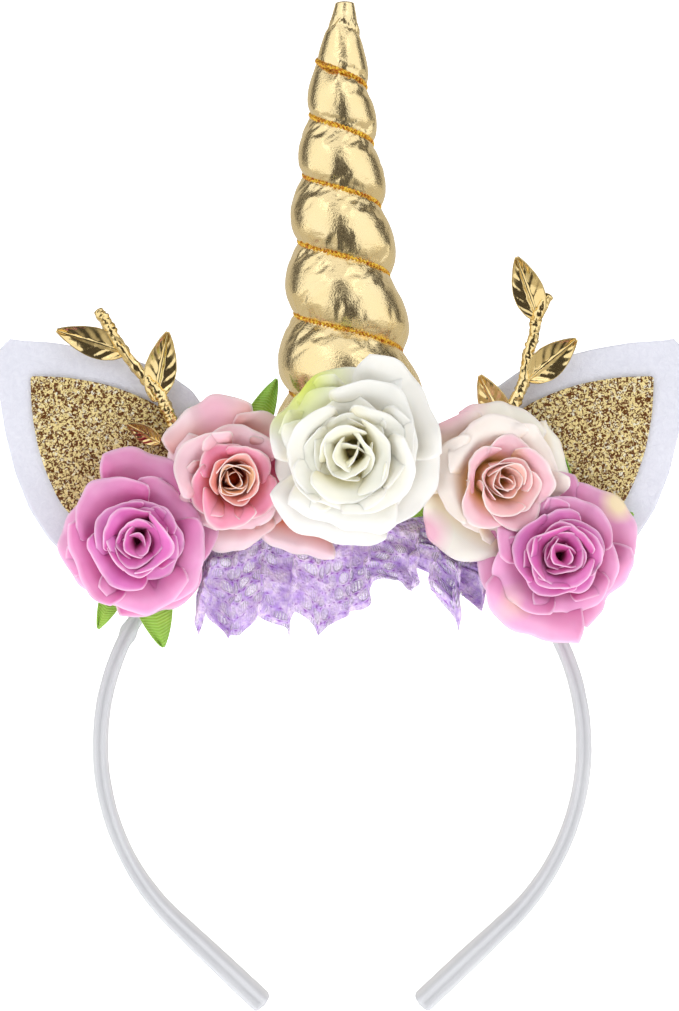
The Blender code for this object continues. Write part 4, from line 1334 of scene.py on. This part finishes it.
# place along the band in mm, lowest point up in mm, sideways drift of that point in mm, depth of the folds
LACE_ROWS = np.array(
    [
        (-38.0, -33.4, -2.0, 0.6),
        (-36.6, -25.5, -0.8, 1.0),
        (-31.0, -34.4, 0.0, 0.7),
        (-27.0, -34.0, 0.3, 0.4),
        (-21.5, -26.4, 0.0, 0.9),
        (-18.0, -31.0, 0.0, 1.0),
        (-14.6, -34.2, 0.0, 0.8),
        (-11.0, -27.0, 0.0, 1.0),
        (-7.0, -33.2, 0.0, 0.4),
        (-1.0, -30.0, 0.0, 0.3),
        (5.0, -26.6, 0.0, 0.6),
        (8.6, -20.0, 0.0, 1.1),
        (13.0, -18.6, 0.0, 1.1),
        (17.6, -22.2, 0.8, 1.0),
        (21.0, -15.4, 0.0, 1.1),
        (26.0, -21.0, 0.0, 1.0),
        (29.8, -31.6, 0.2, 1.1),
        (31.8, -21.0, 0.0, 1.1),
        (36.4, -26.6, 0.4, 1.0),
        (39.0, -20.5, 1.2, 0.7),
    ]
)


def lace_sheet():
    """Each column starts on the band and falls to the low line. Sideways sine and forwards cosine make round
    folds that overlap. The folds grow from the glued edge down, and noise crumples them."""
    place_on = np.linspace(LACE_ROWS[0, 0], LACE_ROWS[-1, 0], 400)[None]
    row = np.linspace(0, 1, 56)[:, None]
    low, drift, depth = (np.interp(place_on, LACE_ROWS[:, 0], column) for column in LACE_ROWS.T[1:])
    high = (np.sqrt(BAND_RADIUS**2 - (place_on * MM) ** 2) + BAND_CENTRE) / MM
    theta = TURN * (place_on / 7.6 + 0.55 * lattice_noise(place_on / 9, 0 * place_on, 70) + 0.25 * row)
    grow = eased(row, -0.25, 0.75) * depth
    crumple = lattice_noise(place_on / 3.6, row * 7, 71) * 1.3 + lattice_noise(
        place_on / 1.7, row * 15, 72
    ) * 0.5
    x = place_on + drift * row + grow * (
        1.6 * np.sin(theta) + 1.3 * lattice_noise(place_on / 3.4, row * 7, 73)
    )
    z = high + (low - high) * row + 1.3 * grow * lattice_noise(place_on / 3.2, row * 7, 74)
    on_felt = eased(np.abs(place_on), 17, 24)
    start = eased(row, 0.0, 0.3)
    forward = 6.0 + 2.3 * on_felt + start * (
        1.0 + grow * (1.9 * (1 - np.cos(theta)) + 1.3 * crumple) + 0.5 * crumple
    )
    return grid_mesh("lace_strip", np.stack([x, -forward, z], -1) * MM, merge=False)


print("lace runs", round(float(np.ptp(LACE_ROWS[:, 0])), 1), "mm along the band")

# %% Lace material
def lace_material():
    material, tree, shader = new_material(
        "lavender_lace", Roughness=0.75, Sheen_Weight=0.3, Sheen_Roughness=0.4
    )
    uv = place(tree, "ShaderNodeTexCoord").outputs["UV"]
    scaled = place(tree, "ShaderNodeMapping", {"Vector": uv, "Scale": (30.0, 8.5, 1.0)}).outputs[0]
    split = place(tree, "ShaderNodeSeparateXYZ", {0: scaled})
    row = math_node(tree, "FLOOR", split.outputs[1])
    shift = times(tree, math_node(tree, "MODULO", row, 2.0), 0.5)
    x = minus(tree, math_node(tree, "FRACT", plus(tree, split.outputs[0], shift)), 0.5)
    y = minus(tree, math_node(tree, "FRACT", split.outputs[1]), 0.5)
    far = math_node(tree, "SQRT", plus(tree, times(tree, x, x), times(tree, y, y)))
    window = ramp(tree, far, 0.42, 0.34)
    hatch = math_node(tree, "SINE", times(tree, split.outputs[0], 44.0))
    thread = ramp(tree, hatch, -0.4, 0.4)
    patch = cloudy(tree, object_place(tree), 95.0, 1.0)
    clear = ramp(tree, patch, 0.42, 0.56)
    window = times(tree, window, plus(tree, times(tree, clear, 0.8), 0.2))
    sheer = times(tree, window, minus(tree, 1.0, thread))
    tree.links.new(minus(tree, 1.0, times(tree, sheer, 0.6)), shader.inputs["Alpha"])
    near = plus(tree, far, times(tree, patch, 0.25))
    knot = ramp(tree, near, 0.68, 0.80)
    # A mottled tone from deep to pale lavender: the lace's own uneven colour, and painted highlight in its
    # pale patches.
    slow = cloudy(tree, object_place(tree), 420.0, 4.0)
    cloud = ramp(tree, slow, 0.35, 0.65)
    tone = blend(tree, cloud, (0.53, 0.33, 0.80), (0.90, 0.76, 0.98))
    tone = blend(tree, times(tree, window, 0.55), tone, (0.78, 0.72, 0.88))
    tree.links.new(blend(tree, knot, tone, (0.30, 0.07, 0.50)), shader.inputs["Base Color"])
    net = place(tree, "ShaderNodeTexVoronoi", {"Vector": object_place(tree), "Scale": 1300.0})
    height = plus(tree, net.outputs["Distance"], minus(tree, 1.0, window))
    bump(tree, shader, height, 0.9, 0.0004)
    return material


lace = dress(thicken(lace_sheet(), LACE), lace_material(), "lace", "lace_frill")

# %% [markdown]
# ## Backdrop
# One pale sheet is both floor and wall: a floor, a quarter circle and a wall, carried sideways. It has no
# corner to throw a line behind the headband. The camera sees it white. Shiny cloth and metal see it dark in
# the middle, which gives them their deep lower edges.


# %% Floor and wall
def backdrop(floor_z):
    """A floor, a quarter circle and a wall as one path, carried along X."""
    bow = np.linspace(0, math.pi / 2, 24)
    y = np.concatenate([[-0.35, -0.1], 2.6 + 1.0 * np.sin(bow), [3.6]])
    z = np.concatenate([[0, 0], 1.0 - 1.0 * np.cos(bow), [6.0]]) + floor_z
    x = np.array([-5.0, 5.0])
    points = np.stack(
        [
            np.broadcast_to(x, (len(y), 2)), np.broadcast_to(y[:, None], (len(y), 2)),
            np.broadcast_to(z[:, None], (len(y), 2)),
        ],
        -1,
    )
    return grid_mesh("backdrop", points, merge=False)


floor_z = float(np.asarray(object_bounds()[0])[2])
sheet = backdrop(floor_z - 0.0002)
pale, tree, shader = new_material("pale_paper", Base_Color=(0.9, 0.9, 0.9, 1), Roughness=0.9)
shader.inputs["Emission Color"].default_value = (1, 1, 1, 1)
shader.inputs["Emission Strength"].default_value = 0.95
aside = math_node(tree, "ABSOLUTE", place(tree, "ShaderNodeSeparateXYZ", {0: object_place(tree)}).outputs[0])
mirrored = place(tree, "ShaderNodeMapRange", {"Value": aside, "From Min": 0.05, "From Max": 0.2})
mirrored.inputs["To Min"].default_value, mirrored.inputs["To Max"].default_value = 0.04, 0.62
seen = place(tree, "ShaderNodeEmission", {"Color": (1.0, 0.93, 0.80, 1), "Strength": mirrored.outputs[0]})
split = place(tree, "ShaderNodeMixShader", {0: place(tree, "ShaderNodeLightPath").outputs["Is Glossy Ray"]})
tree.links.new(shader.outputs[0], split.inputs[1])
tree.links.new(seen.outputs[0], split.inputs[2])
tree.links.new(split.outputs[0], tree.nodes["Material Output"].inputs["Surface"])
sheet.data.materials.append(pale)
print("floor at", round(floor_z / MM, 1), "mm")
